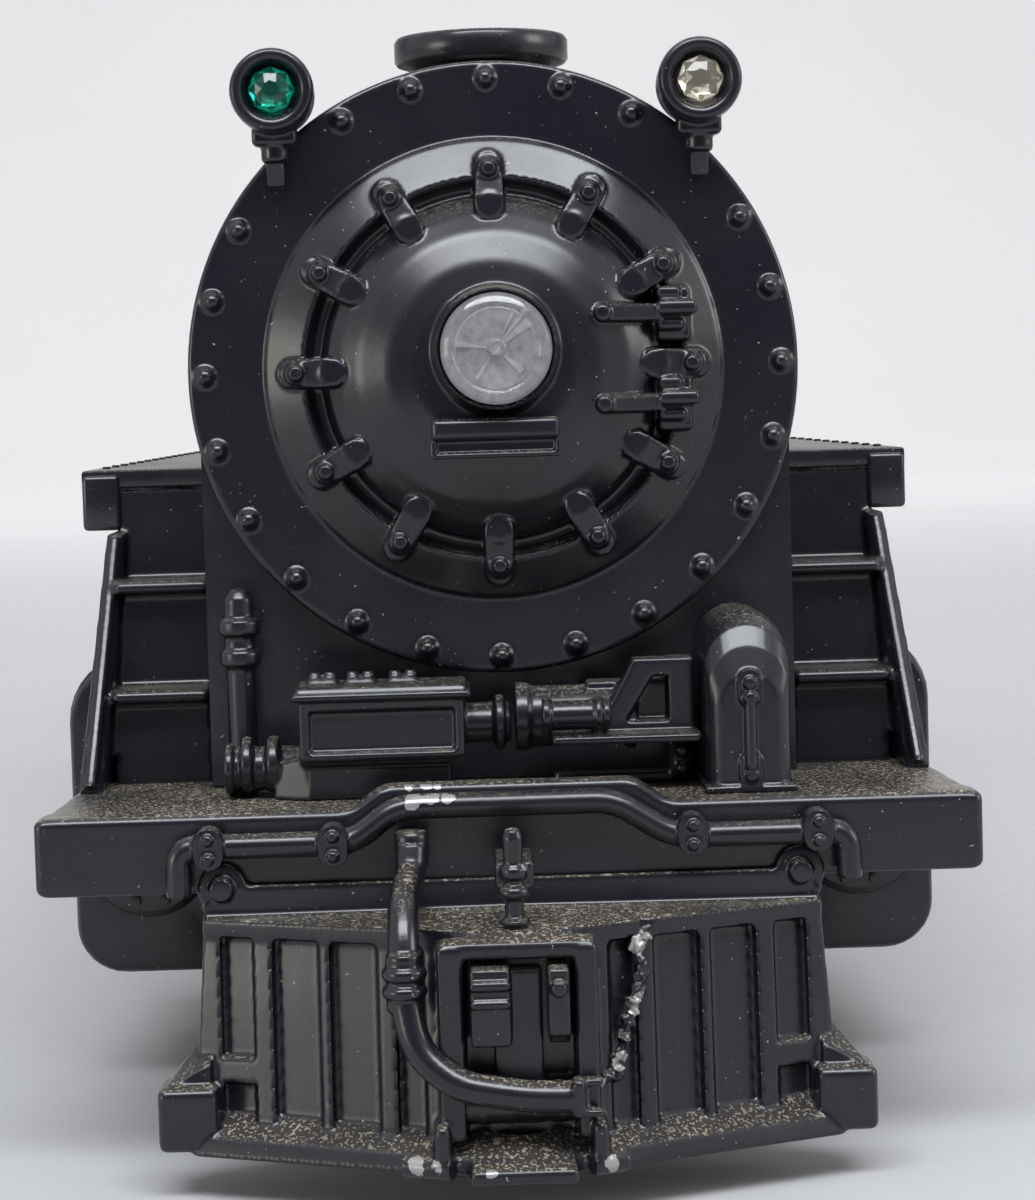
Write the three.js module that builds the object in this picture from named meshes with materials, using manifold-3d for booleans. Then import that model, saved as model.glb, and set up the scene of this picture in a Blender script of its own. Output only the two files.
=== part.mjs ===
// Model steam locomotive, O gauge, 4-6-4 wheel arrangement, without its tender.
// Millimetres. +X is the engine's left side, -Y its front, +Z up.
// Stations along Y are measured from the front face of the pilot beam, and the finished
// group is moved so that the origin lies under the middle of the engine, at flange height.

import * as THREE from 'three';
import { ConvexGeometry } from 'three/addons/geometries/ConvexGeometry.js';
import { mergeVertices } from 'three/addons/utils/BufferGeometryUtils.js';
import Module from 'manifold-3d';

const wasm = await Module();
wasm.setup();

// ---------------------------------------------------------------- driving dimensions

const GAP = 0.3;                 // air between neighbouring castings
const NOSE_Y = -13.6;            // tip of the pilot
const TAIL_Y = 292;              // end of the drawbar

const BOILER_Z = 52.1;           // height of the boiler axis
const SMOKEBOX_R = 20.64;
const BARREL_R = 22.4;
const SHELL_WALL = 1.8;
const PLATE_Y = 12;              // face of the smokebox front plate
const SHELL_FRONT_Y = 14.1;
const SMOKEBOX_END_Y = 60;
const TAPER_END_Y = 100;
const FIREBOX_Y = 166;
const SHELL_END_Y = 222;
const SHELL_BOTTOM_Z = 38.8;     // the barrel is open below this height
const FIREBOX_BOTTOM_Z = 37;

const BEAM_HALF = 30.5;
const BEAM_TOP_Z = 24;
const BEAM_BOTTOM_Z = 18.9;
const BEAM_DEPTH = 3.5;
const SADDLE_HALF = 20.1;        // the wall under the smokebox front

const BOARD_HALF = 29.5;         // running boards
const BOARD_TOP_Z = 45.8;
const BOARD_UNDER_Z = 41.5;
const BOARD_PLATE = 1.3;
const BOARD_FRONT_Y = 24;

const BACK_TO_BACK = 14.1;       // inner face of every wheel, from the centre line
const DRIVER = { tread: 17.4, flange: 18.8, outer: 19.4, rim: 14.2, hub: 4.2, axle: 2 };
const DRIVER_Z = DRIVER.flange;
const DRIVER_Y = { front: 83, main: 123.5, rear: 164 };
const THROW = 6.5;               // crank radius
const CRANK_PIN_R = 1.2;
const SIDE_ROD = { inner: 20.6, outer: 21.9 };
const MAIN_ROD = { inner: 23.1, outer: 24.3, length: 55.5 };
const GUIDE = { inner: 24.9, outer: 27.4, end: 81 };
const CYLINDER = { inner: 20.6, outer: 31.7, front: 29, back: 54, low: 8.6, high: 32 };
const PISTON_X = (CYLINDER.inner + CYLINDER.outer) / 2;
const PISTON_ROD_R = 0.9;

const LEAD = { pivot: 37, axles: { front: 24, rear: 50 }, tread: 8.25, flange: 9.45, outer: 17.9 };
const TRAIL = { pivot: 188, axles: { front: 205, rear: 231 }, tread: 9, flange: 10.2, outer: 18.3 };
const TRUCK_AXLE_R = 1.5;

const GEAR_MODULE = 0.75;
const TEETH = { axle: 32, idler: 24, pinion: 10 };
const GEAR_X = { inner: 6.6, outer: 9.4 };
const MESH_SLACK = 0.12;         // extra centre distance, so the teeth run free

const FRAME = { inner: 11.2, outer: 13.2, front: 64, back: 176, low: 9.2, high: 30 };
const FRAME_TAIL = { half: 9, end: 256, low: 25.5, high: 28.5 };
const DRAWBAR = { pivot: 250, low: 22, high: 24 };

const CAB = { front: 222.3, back: 268, roof: 275, half: 29.5, floor: 36, eaves: 66, top: 84, wall: 1.6 };

// The engine's right side is -X. Its cranks point down at rest, and the left cranks,
// a quarter turn away, point forward.
const SIDES = [
  { name: 'right', sign: -1, crank: -Math.PI / 2 },
  { name: 'left', sign: 1, crank: Math.PI },
];

// ---------------------------------------------------------------- finishes

const FINISHES = {
  black: { color: 0x141418, roughness: 0.42, metalness: 0.1 },
  frame: { color: 0x1d1d20, roughness: 0.6, metalness: 0.3 },
  steel: { color: 0x9c9c98, roughness: 0.35, metalness: 1 },
  brass: { color: 0xb08d3c, roughness: 0.35, metalness: 1 },
  copper: { color: 0x9a4f2a, roughness: 0.4, metalness: 1 },
  clear: { color: 0xdfe3e6, roughness: 0.08, metalness: 0 },
  green: { color: 0x0e5f4a, roughness: 0.08, metalness: 0 },
  board: { color: 0x4a2f1c, roughness: 0.8, metalness: 0 },
};

// ---------------------------------------------------------------- solids from geometry

function toSolid(geometry) {
  const bare = geometry.clone();
  bare.deleteAttribute('normal');
  bare.deleteAttribute('uv');
  const merged = mergeVertices(bare, 1e-4);
  const mesh = new wasm.Mesh({
    numProp: 3,
    vertProperties: new Float32Array(merged.attributes.position.array),
    triVerts: new Uint32Array(merged.index.array),
  });
  return new wasm.Manifold(mesh);
}

function toGeometry(solid) {
  const mesh = solid.getMesh();
  const geometry = new THREE.BufferGeometry();
  geometry.setAttribute('position', new THREE.BufferAttribute(mesh.vertProperties, 3));
  geometry.setIndex(new THREE.BufferAttribute(mesh.triVerts, 1));
  return geometry;
}

const join = (...solids) => solids.flat().reduce((whole, piece) => whole.add(piece));

const cut = (base, ...tools) => tools.flat().reduce((left, tool) => left.subtract(tool), base);

// Turns a shape drawn along +Y so that it lies along the named axis. The centre holds the
// two other coordinates, in the order x, y, z.
function layAlong(geometry, axis, centre) {
  const [a, b] = centre;
  if (axis === 'x') geometry.rotateZ(-Math.PI / 2).translate(0, a, b);
  if (axis === 'y') geometry.translate(a, 0, b);
  if (axis === 'z') geometry.rotateX(Math.PI / 2).translate(a, b, 0);
  return geometry;
}

function box(x0, x1, y0, y1, z0, z1) {
  const geometry = new THREE.BoxGeometry(Math.abs(x1 - x0), y1 - y0, z1 - z0);
  geometry.translate((x0 + x1) / 2, (y0 + y1) / 2, (z0 + z1) / 2);
  return toSolid(geometry);
}

function cylinder(axis, radius, from, to, centre, sides = 16, endRadius = radius) {
  const low = Math.min(from, to);
  const [lowRadius, highRadius] = from < to ? [radius, endRadius] : [endRadius, radius];
  const geometry = new THREE.CylinderGeometry(highRadius, lowRadius, Math.abs(to - from), sides);
  geometry.translate(0, low + Math.abs(to - from) / 2, 0);
  return toSolid(layAlong(geometry, axis, centre));
}

// Turned shape: the profile lists [radius, station] from low to high station, starting and
// ending on the axis, or closing on itself.
function turned(axis, profile, centre, sides = 20) {
  const points = profile.map(([radius, station]) => new THREE.Vector2(radius, station));
  return toSolid(layAlong(new THREE.LatheGeometry(points, sides), axis, centre));
}

function outline(points) {
  return new THREE.Shape(points.map(([a, b]) => new THREE.Vector2(a, b)));
}

function roundedOutline(a0, a1, b0, b1, radius) {
  const shape = new THREE.Shape();
  shape.moveTo(a0 + radius, b0);
  shape.lineTo(a1 - radius, b0);
  shape.absarc(a1 - radius, b0 + radius, radius, -Math.PI / 2, 0);
  shape.lineTo(a1, b1 - radius);
  shape.absarc(a1 - radius, b1 - radius, radius, 0, Math.PI / 2);
  shape.lineTo(a0 + radius, b1);
  shape.absarc(a0 + radius, b1 - radius, radius, Math.PI / 2, Math.PI);
  shape.lineTo(a0, b0 + radius);
  shape.absarc(a0 + radius, b0 + radius, radius, Math.PI, Math.PI * 1.5);
  return shape;
}

const EXTRUDE_BASIS = {
  x: new THREE.Matrix4().makeBasis(
    new THREE.Vector3(0, 1, 0), new THREE.Vector3(0, 0, 1), new THREE.Vector3(1, 0, 0)),
  y: new THREE.Matrix4().makeBasis(
    new THREE.Vector3(1, 0, 0), new THREE.Vector3(0, 0, 1), new THREE.Vector3(0, -1, 0)),
  z: new THREE.Matrix4(),
};

// Extrudes an outline, drawn in the two other coordinates, along the axis.
function prism(axis, shape, from, to, { bevel = 0, curve = 4 } = {}) {
  const low = Math.min(from, to);
  const high = Math.max(from, to);
  const geometry = new THREE.ExtrudeGeometry(shape, {
    depth: high - low - 2 * bevel,
    curveSegments: curve,
    bevelEnabled: bevel > 0,
    bevelThickness: bevel,
    bevelSize: bevel,
    bevelOffset: -bevel,
    bevelSegments: 1,
  });
  geometry.translate(0, 0, axis === 'y' ? bevel - high : low + bevel);
  geometry.applyMatrix4(EXTRUDE_BASIS[axis]);
  return toSolid(geometry);
}

function hull(points) {
  return toSolid(new ConvexGeometry(points.map((point) => new THREE.Vector3(...point))));
}

// A round bar along straight runs, with each corner rounded off.
function pipe(points, radius, { bend = 1.5, sides = 8, step = 1.4 } = {}) {
  const corners = points.map((point) => new THREE.Vector3(...point));
  const path = new THREE.CurvePath();
  let start = corners[0];
  for (let i = 1; i < corners.length - 1; i += 1) {
    const before = corners[i].clone().sub(corners[i - 1]).normalize().multiplyScalar(bend);
    const after = corners[i + 1].clone().sub(corners[i]).normalize().multiplyScalar(bend);
    const arcStart = corners[i].clone().sub(before);
    const arcEnd = corners[i].clone().add(after);
    path.add(new THREE.LineCurve3(start, arcStart));
    path.add(new THREE.QuadraticBezierCurve3(arcStart, corners[i], arcEnd));
    start = arcEnd;
  }
  path.add(new THREE.LineCurve3(start, corners[corners.length - 1]));
  return sweep(path, radius, Math.ceil(path.getLength() / step), sides);
}

function sweep(path, radius, steps, sides = 8) {
  const section = new THREE.Shape().absarc(0, 0, radius, 0, Math.PI * 2);
  const settings = { steps, extrudePath: path, curveSegments: sides / 2, bevelEnabled: false };
  return toSolid(new THREE.ExtrudeGeometry(section, settings));
}

// ---------------------------------------------------------------- the assembly

const engine = new THREE.Group();
engine.name = 'model_steam_locomotive';
engine.position.y = -(NOSE_Y + TAIL_Y) / 2;

function group(...position) {
  const made = new THREE.Group();
  made.position.set(...position);
  return made;
}

// Adds a solid, drawn at its place in the engine, as a mesh whose own origin is at the pivot.
function addPart(name, solid, finish, pivot = [0, 0, 0], parent = engine) {
  const geometry = toGeometry(solid);
  geometry.translate(-pivot[0], -pivot[1], -pivot[2]);
  const mesh = new THREE.Mesh(geometry, new THREE.MeshStandardMaterial(FINISHES[finish]));
  mesh.name = name;
  mesh.position.set(...pivot).sub(parent === engine ? new THREE.Vector3() : parent.position);
  parent.add(mesh);
  return mesh;
}

// ---------------------------------------------------------------- boiler

function boilerEnvelope(offset, from, to, sides = 28) {
  const frontR = SMOKEBOX_R + offset;
  const backR = BARREL_R + offset;
  const profile = [
    [0, from], [frontR, from], [frontR, SMOKEBOX_END_Y],
    [backR, TAPER_END_Y], [backR, to], [0, to],
  ];
  return turned('y', profile, [0, BOILER_Z], sides);
}

const STACK_Y = 29;
const LEVER_Y = 178;
const HEADLIGHT_Z = 53.3;

function makeBackhead() {
  const plate = cylinder('y', BARREL_R - 0.5, SHELL_END_Y - 2, SHELL_END_Y + 5, [0, BOILER_Z], 28);
  const fireDoor = cylinder('y', 5, SHELL_END_Y + 5, SHELL_END_Y + 6.5, [0, 44], 12);
  const gauges = [[-6, 60], [0, 63], [6, 60]].map(
    (place) => cylinder('y', 2.2, SHELL_END_Y + 5, SHELL_END_Y + 6.6, place, 10));
  const throttle = box(-0.8, 0.8, SHELL_END_Y + 5, SHELL_END_Y + 10, 50, 57);
  const foot = box(-16, 16, SHELL_END_Y - 2, SHELL_END_Y + 5, CAB.floor + 2, 46);
  return join(plate, fireDoor, gauges, throttle, foot);
}

function makeBoilerShell() {
  const inside = SHELL_WALL;
  const skirt = box(-SADDLE_HALF, SADDLE_HALF, SHELL_FRONT_Y, 27.7, BEAM_TOP_Z + GAP, BOILER_Z);
  const firebox = box(-BARREL_R, BARREL_R, FIREBOX_Y, SHELL_END_Y, FIREBOX_BOTTOM_Z, BOILER_Z);
  const outer = join(boilerEnvelope(0, SHELL_FRONT_Y, SHELL_END_Y), skirt, firebox);
  const hollow = boilerEnvelope(-inside, SHELL_FRONT_Y + inside, SHELL_END_Y - inside);
  const skirtHollow = box(
    -SADDLE_HALF + inside, SADDLE_HALF - inside, SHELL_FRONT_Y + inside, 30, 20, BOILER_Z);
  const belly = box(-30, 30, 27.7, FIREBOX_Y, 20, SHELL_BOTTOM_Z);
  const fireboxHollow = box(
    -BARREL_R + inside, BARREL_R - inside, FIREBOX_Y - 5, SHELL_END_Y - inside, 20, BOILER_Z);
  const stackHole = cylinder('z', 3.2, 65, 80, [0, STACK_Y]);
  const bulbHole = cylinder('y', 4.6, SHELL_FRONT_Y - 1, SHELL_FRONT_Y + 4, [0, HEADLIGHT_Z]);
  const leverSlot = box(-1.3, 1.3, LEVER_Y - 5.5, LEVER_Y + 5.5, 66, 80);
  const shell = cut(outer, hollow, skirtHollow, belly, fireboxHollow);
  return cut(join(shell, makeBackhead()), stackHole, bulbHole, leverSlot);
}

// ---------------------------------------------------------------- smokebox front

const DOOR = { ring: 15.4, grooveOuter: 12.4, rim: 11.2, clampCount: 12, rivetRing: 19.4 };

// Puts a piece made at the top of the door (12 o'clock) at a given clock angle.
function aroundDoor(solid, angle) {
  const turn = (angle * 180) / Math.PI;
  return solid.translate([0, 0, -BOILER_Z]).rotate([0, turn, 0]).translate([0, 0, BOILER_Z]);
}

function makeClamp() {
  const side = outline([
    [8.9, BOILER_Z + 10.2], [9.8, BOILER_Z + 14.6], [12.5, BOILER_Z + 14.6], [10.8, BOILER_Z + 10.2]]);
  const bolt = cylinder('y', 0.7, 9.8, 8.8, [0, BOILER_Z + 13.2], 5);
  return join(prism('x', side, -0.95, 0.95), bolt);
}

function makeDoorHinge(z) {
  const strap = box(6.6, 12, 7.5, 10.4, z - 0.5, z + 0.5);
  const knuckle = [
    cylinder('z', 1.4, z - 0.6, z + 0.6, [12.2, 8.9], 6),
    box(11, 13.4, 8.2, 11.6, z - 1.6, z + 1.6),
  ];
  return join(strap, knuckle);
}

function makeSmokeboxFront() {
  const profile = [
    [0, 13.8], [SMOKEBOX_R, 13.8], [SMOKEBOX_R, PLATE_Y], [DOOR.ring, PLATE_Y],
    [DOOR.grooveOuter, 10.4], [DOOR.grooveOuter, 11], [DOOR.rim, 11], [DOOR.rim, 10],
    [8, 7.8], [4, 6.8], [0, 6.8],
  ];
  const plate = turned('y', [...profile].reverse(), [0, BOILER_Z], 28);
  const clamps = [];
  for (let i = 0; i < DOOR.clampCount; i += 1) {
    clamps.push(aroundDoor(makeClamp(), (i * Math.PI * 2) / DOOR.clampCount));
  }
  const rivet = cylinder('y', 0.6, PLATE_Y, PLATE_Y - 0.45, [0, BOILER_Z + DOOR.rivetRing], 5, 0.3);
  const rivets = [];
  const rivetCount = 24;
  for (let i = 0; i < rivetCount; i += 1) {
    const underMarkerPost = i === 3 || i === rivetCount - 3;
    if (!underMarkerPost) rivets.push(aroundDoor(rivet, (i * Math.PI * 2) / rivetCount));
  }
  const hinges = [makeDoorHinge(55.5), makeDoorHinge(49.5)];
  const lampRing = cylinder('y', 4.3, 7.4, 4.4, [0, HEADLIGHT_Z], 16);
  const plateBracket = box(-3, 3, 6.2, 8.4, 47.2, 48.4);
  const lampBore = cylinder('y', 3.75, 6, 4, [0, HEADLIGHT_Z], 16);
  const bulbBore = cylinder('y', 2.2, 5, 15, [0, HEADLIGHT_Z], 8);
  return cut(join(plate, clamps, rivets, hinges, lampRing, plateBracket), lampBore, bulbBore);
}

function makeHeadlightLens() {
  const profile = [[0, 5.7], [3.45, 5.7], [3.45, 4.3], [2.8, 3.7], [1.4, 3.4], [0, 3.3]];
  return turned('y', [...profile].reverse(), [0, HEADLIGHT_Z], 16);
}

function makeHeadlightBulb() {
  const profile = [[0, 6.3], [1.1, 6.8], [1.6, 8], [1.6, 15], [1.9, 15.2], [1.9, 19], [0, 19]];
  return turned('y', profile, [0, HEADLIGHT_Z], 10);
}

function makeNumberPlate() {
  return prism('y', roundedOutline(-4.3, 4.1, 46.8, 48.8, 0.4), 4.7, 5.9, { bevel: 0.2, curve: 2 });
}

const MARKER = { x: 14.15, z: 70.75, r: 2.75, front: 7.8, back: 13.9 };

function makeMarkerLamp(sign) {
  const x = sign * MARKER.x;
  const profile = [
    [0, MARKER.front + 1.2], [1.8, MARKER.front + 1.2], [2.1, MARKER.front], [2.6, MARKER.front],
    [MARKER.r, MARKER.front + 0.5], [MARKER.r, MARKER.back - 1], [1.6, MARKER.back], [0, MARKER.back],
  ];
  const body = turned('y', profile, [x, MARKER.z], 12);
  const neck = box(x - 1.5, x + 1.5, 9.8, 11.7, 67.2, 69);
  const post = box(x - 0.65, x + 0.65, 10.4, 11.7, 64.4, 67.4);
  return cut(join(body, neck, post), cylinder('y', SMOKEBOX_R + GAP, PLATE_Y - GAP, 20, [0, BOILER_Z], 36));
}

function makeMarkerJewel(sign) {
  const profile = [
    [0, MARKER.front - 0.3], [0.8, MARKER.front - 0.2], [1.45, MARKER.front + 0.4],
    [1.45, MARKER.front + 0.9], [0, MARKER.front + 0.9],
  ];
  return turned('y', profile, [sign * MARKER.x, MARKER.z], 8);
}

// ---------------------------------------------------------------- boiler top

function onBoiler(solid) {
  return cut(solid, boilerEnvelope(GAP, 10, SHELL_END_Y + 10));
}

function makeSmokestack() {
  const profile = [
    [3.4, 70], [7.2, 70], [7.2, 72.9], [5.6, 73.5], [5.2, 74], [6.3, 74.4], [6.3, 76.1],
    [5.9, 76.3], [3.4, 76.3], [3.4, 70],
  ];
  return onBoiler(turned('z', profile, [0, STACK_Y], 18));
}

function makeDome(y, radius, top) {
  const shoulder = top - 2.6;
  const profile = [
    [0, 64], [radius + 1.6, 64], [radius + 1.6, top - 6.5], [radius, top - 5.2], [radius, shoulder],
    [radius * 0.86, top - 1.1], [radius * 0.5, top - 0.2], [0, top],
  ];
  return turned('z', profile, [0, y], 16);
}

const SAND_DOME_Y = 74;
const STEAM_DOME_Y = 122;

function makeSandDome() {
  const lids = [-2.8, 2.8].map((x) => cylinder('z', 1.6, 77, 79.2, [x, SAND_DOME_Y], 8));
  return onBoiler(join(makeDome(SAND_DOME_Y, 8.2, 78.5), lids));
}

function makeSteamDome() {
  const y = STEAM_DOME_Y;
  const whistle = [
    cylinder('z', 0.9, 74, 78.6, [6.4, y + 9.5], 8),
    cylinder('z', 1.4, 76.2, 80, [6.4, y + 9.5], 8),
    box(5.6, 7.2, y + 4, y + 10.4, 72.5, 75.4),
  ];
  return onBoiler(join(makeDome(y, 7.6, 79.5), whistle));
}

const BELL = { y: 46, z: 77.2, axle: 0.45 };

function makeBellBracket() {
  const foot = box(-4.6, 4.6, BELL.y - 1.6, BELL.y + 1.6, 70, 73.3);
  const posts = [-1, 1].map((sign) => box(sign * 3.5, sign * 4.4, BELL.y - 1.1, BELL.y + 1.1, 72.8, 78.2));
  const bearing = cylinder('x', 0.8, -5, 5, [BELL.y, BELL.z], 8);
  return onBoiler(cut(join(foot, posts), bearing));
}

function makeBell() {
  const profile = [
    [0, 74.9], [1.75, 74.9], [2.3, 74.2], [2.3, 74.5], [1.6, 75.6], [1.3, 77], [0.8, 77.9], [0, 77.9],
  ];
  const cup = turned('z', profile, [0, BELL.y], 10);
  return join(cup, cylinder('x', BELL.axle, -4.9, 4.9, [BELL.y, BELL.z], 6));
}

function makeHandrail(sign) {
  const height = 62;
  const ends = [
    { y: 44, r: SMOKEBOX_R },
    { y: TAPER_END_Y, r: BARREL_R },
    { y: 214, r: BARREL_R },
  ];
  const stand = 1.9;
  const place = ({ y, r }) => [sign * Math.sqrt((r + stand) ** 2 - (height - BOILER_Z) ** 2), y, height];
  const rail = pipe(ends.map(place), 0.45, { sides: 6, step: 34, bend: 1 });
  const posts = [];
  for (const y of [48, 76, 104, 140, 176, 210]) {
    const share = Math.min(Math.max((y - 44) / (TAPER_END_Y - 44), 0), 1);
    const [x] = place({ y, r: SMOKEBOX_R + share * (BARREL_R - SMOKEBOX_R) });
    posts.push(box(x - sign * 1.7, x + sign * 0.3, y - 0.5, y + 0.5, height - 0.5, height + 0.5));
  }
  return join(rail, posts);
}

// ---------------------------------------------------------------- cab

function archOutline(half, eaves, top, floor) {
  const shape = new THREE.Shape();
  shape.moveTo(-half, floor);
  shape.lineTo(half, floor);
  shape.lineTo(half, eaves);
  shape.bezierCurveTo(half, eaves + (top - eaves) * 0.75, half * 0.5, top, 0, top);
  shape.bezierCurveTo(-half * 0.5, top, -half, eaves + (top - eaves) * 0.75, -half, eaves);
  return shape;
}

function makeCab() {
  const { front, back, roof, half, floor, eaves, top, wall } = CAB;
  const outer = prism('y', archOutline(half, eaves, top, floor), front, roof, { curve: 6 });
  const inner = prism('y', archOutline(half - wall, eaves, top - wall, floor + 2),
    front + wall, roof + 1, { curve: 6 });
  const rearBelowRoof = box(-half - 1, half + 1, back, roof + 1, floor - 1, eaves);
  const floorHole = box(-17, 17, front + wall, 233, floor - 1, floor + 3);
  const boilerHole = cylinder('y', BARREL_R + GAP, front - 1, front + wall + 1, [0, BOILER_Z], 28);
  const fireboxHole = box(
    -BARREL_R - GAP, BARREL_R + GAP, front - 1, front + wall + 1, floor - 1, BOILER_Z);
  const openings = [];
  for (const y of [229, 244]) {
    openings.push(prism('x', roundedOutline(y, y + 11, 52, 64, 1), -half - 1, half + 1, { curve: 1 }));
  }
  for (const sign of [-1, 1]) {
    openings.push(box(sign * 24, sign * 27, front - 1, front + wall + 1, 56, 65));
  }
  const hatch = box(-7, 7, 238, 254, top - 1, top + 0.8);
  const steps = [-1, 1].map((sign) => join(
    box(sign * 25.5, sign * 28.5, back - 5, back - 0.5, 27, floor + 1),
    box(sign * 25.5, sign * 29.5, back - 7.5, back - 0.5, 26, 27.2),
    box(sign * 25.5, sign * 29.5, back - 7.5, back - 0.5, 31, 32.2),
  ));
  const shell = cut(outer, inner, rearBelowRoof, floorHole, boilerHole, fireboxHole, openings);
  return join(shell, hatch, steps);
}

// ---------------------------------------------------------------- running boards and steps

function makeRunningBoard(sign) {
  const inner = SADDLE_HALF;
  const deck = outline([
    [sign * inner, BOARD_FRONT_Y], [sign * BOARD_HALF, BOARD_FRONT_Y],
    [sign * BOARD_HALF, SHELL_END_Y], [sign * (BARREL_R + GAP), SHELL_END_Y],
    [sign * (BARREL_R + GAP), TAPER_END_Y], [sign * inner, SMOKEBOX_END_Y - 4],
  ]);
  const plate = prism('z', deck, BOARD_TOP_Z - BOARD_PLATE, BOARD_TOP_Z);
  const frontBlock = box(
    sign * 26.8, sign * BOARD_HALF, BOARD_FRONT_Y, BOARD_FRONT_Y + 6, BOARD_UNDER_Z, BOARD_TOP_Z);
  const valance = box(
    sign * 28.2, sign * BOARD_HALF, BOARD_FRONT_Y, SHELL_END_Y, BOARD_UNDER_Z, BOARD_TOP_Z);
  const tank = cylinder('y', 3.2, 104, 150, [sign * 24.6, 41.5], 12);
  return join(plate, frontBlock, valance, tank);
}

const TREADS_Z = [30.6, 38];

function makeFrontSteps(sign) {
  const low = BEAM_TOP_Z + GAP;
  const high = BOARD_UNDER_Z - GAP;
  const back = 27.6;
  const lip = 0.8;
  const stair = outline([
    [14.8, low], [back, low], [back, high], [24, high],
    [22.2, TREADS_Z[1]], [19.6, TREADS_Z[1]], [19.6, TREADS_Z[1] - lip], [21.2, TREADS_Z[1] - lip],
    [18.8, TREADS_Z[0]], [16.2, TREADS_Z[0]], [16.2, TREADS_Z[0] - lip], [17.8, TREADS_Z[0] - lip],
  ]);
  const stairs = prism('x', stair, sign * (SADDLE_HALF + GAP), sign * 26.6);
  const cheekSlab = prism('y', outline([
    [sign * 26.2, high], [sign * 27.5, high], [sign * 28.9, low], [sign * 27.2, low],
  ]), 10, back);
  const cheekSide = prism('x', outline([[12.4, low], [back, low], [back, high], [22.6, high]]),
    sign * 24, sign * 30);
  return join(stairs, cheekSlab.intersect(cheekSide));
}

// ---------------------------------------------------------------- pilot beam and deck

function makePilotDeck() {
  const chamfer = 0.7;
  const beamOutline = outline([
    [-BEAM_HALF, 19.6], [-BEAM_HALF + chamfer, BEAM_BOTTOM_Z], [BEAM_HALF - chamfer, BEAM_BOTTOM_Z],
    [BEAM_HALF, 19.6], [BEAM_HALF, BEAM_TOP_Z - chamfer], [BEAM_HALF - chamfer, BEAM_TOP_Z],
    [-BEAM_HALF + chamfer, BEAM_TOP_Z], [-BEAM_HALF, BEAM_TOP_Z - chamfer],
  ]);
  const beam = prism('y', beamOutline, 0, BEAM_DEPTH);
  const hump = prism('y', outline([[-10.1, 23], [10.1, 23], [10.1, 24], [8.1, 25.55], [-8.1, 25.55],
    [-10.1, 24]]), 0, 2);
  const deckOutline = outline([[-30, 2], [30, 2], [28.9, 27.7], [-28.9, 27.7]]);
  const deck = prism('z', deckOutline, 21.6, BEAM_TOP_Z);
  return join(beam, hump, deck);
}

const PILOT = { half: 19.7, corner: -1, tip: -10, back: -0.3, top: 17.4, low: 5 };

function pilotHalf(sign, inset, top, low) {
  const corner = PILOT.half - inset;
  const toeHalf = corner + 0.9;
  return hull([
    [0, PILOT.tip + inset, top], [sign * corner, PILOT.corner + inset, top],
    [sign * corner, PILOT.back + inset * 2, top], [0, PILOT.back + inset * 2, top],
    [0, PILOT.tip - 1.6 + inset, low], [sign * toeHalf, PILOT.corner - 1.2 + inset, low],
    [sign * toeHalf, PILOT.back + inset * 2, low], [0, PILOT.back + inset * 2, low],
  ]);
}

// A recess in the sloping face, between two distances from the centre line.
function slat(sign, x0, x1, low, high) {
  const depth = 0.9;
  const slope = (PILOT.corner - PILOT.tip) / PILOT.half;
  const faceAt = (x, z) => PILOT.tip + slope * x - (1.5 * (PILOT.top - z)) / (PILOT.top - PILOT.low);
  const points = [];
  for (const [x, z] of [[x0, low], [x1, low], [x0, high], [x1, high]]) {
    points.push([sign * x, faceAt(x, z) - 3, z], [sign * x, faceAt(x, z) + depth, z]);
  }
  return hull(points);
}

function makePilot() {
  const outer = join(pilotHalf(-1, 0, PILOT.top, PILOT.low), pilotHalf(1, 0, PILOT.top, PILOT.low));
  const inner = join(
    pilotHalf(-1, 2.4, PILOT.top - 1.6, PILOT.low - 1), pilotHalf(1, 2.4, PILOT.top - 1.6, PILOT.low - 1));
  const recesses = [-1, 1].flatMap((sign) => [
    slat(sign, 16.5, 18.7, 8.8, 16.6), slat(sign, 12.3, 15.4, 6.4, 16.6),
    slat(sign, 8.7, 11.6, 6, 16.6), slat(sign, 5.3, 7.4, 6, 16.6),
  ]);
  const arch = box(-4.6, 4.6, -15, -6, 3.8, 8.6);
  const pocket = box(-3.3, 3.5, -15, -9, 8, 16.2);
  const toes = [-1, 1].map((sign) => join(
    hull([
      [0, NOSE_Y, 2.8], [0, NOSE_Y + 0.6, 4.2], [0, -9.3, 2.8], [0, -9.3, 5.4],
      [sign * 20.5, -4.2, 2.8], [sign * 20.5, -3.6, 4.2], [sign * 20.5, -1, 2.8], [sign * 20.5, -1, 5.4],
    ]),
    box(sign * 18.8, sign * 22.9, -4.2, PILOT.back, 3, 7.3),
  ));
  const flange = box(-19.4, 19.4, -1, PILOT.back, 17, 19.3);
  const ears = [-1, 1].map((sign) => join(
    cylinder('y', 1.6, -1, PILOT.back, [sign * 18.5, 19.4], 10),
    cylinder('y', 1, -1.7, -1, [sign * 18.5, 19.4], 6),
  ));
  return join(cut(outer, inner, recesses, arch, pocket), toes, flange, ears);
}

function makeFrontCoupler() {
  const back = -9.3;
  const drum = cylinder('x', 1.3, -4.2, 4.2, [-9.6, 7], 10);
  const stem = box(-1.6, 1.6, -10.6, back, 7.2, 11);
  const shank = box(-2.95, 3.2, -12.2, back, 10.8, 15.8);
  const slot = box(-0.4, 1.8, -13, -11, 8, 17);
  const ridges = [13.2, 14.6].map((z) => box(-2.95, -0.4, -12.5, -12, z, z + 0.6));
  const rivet = cylinder('y', 0.5, -12.6, -12, [2.5, 14.4], 6);
  return join(cut(join(drum, stem, shank), slot), ridges, rivet);
}

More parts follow.
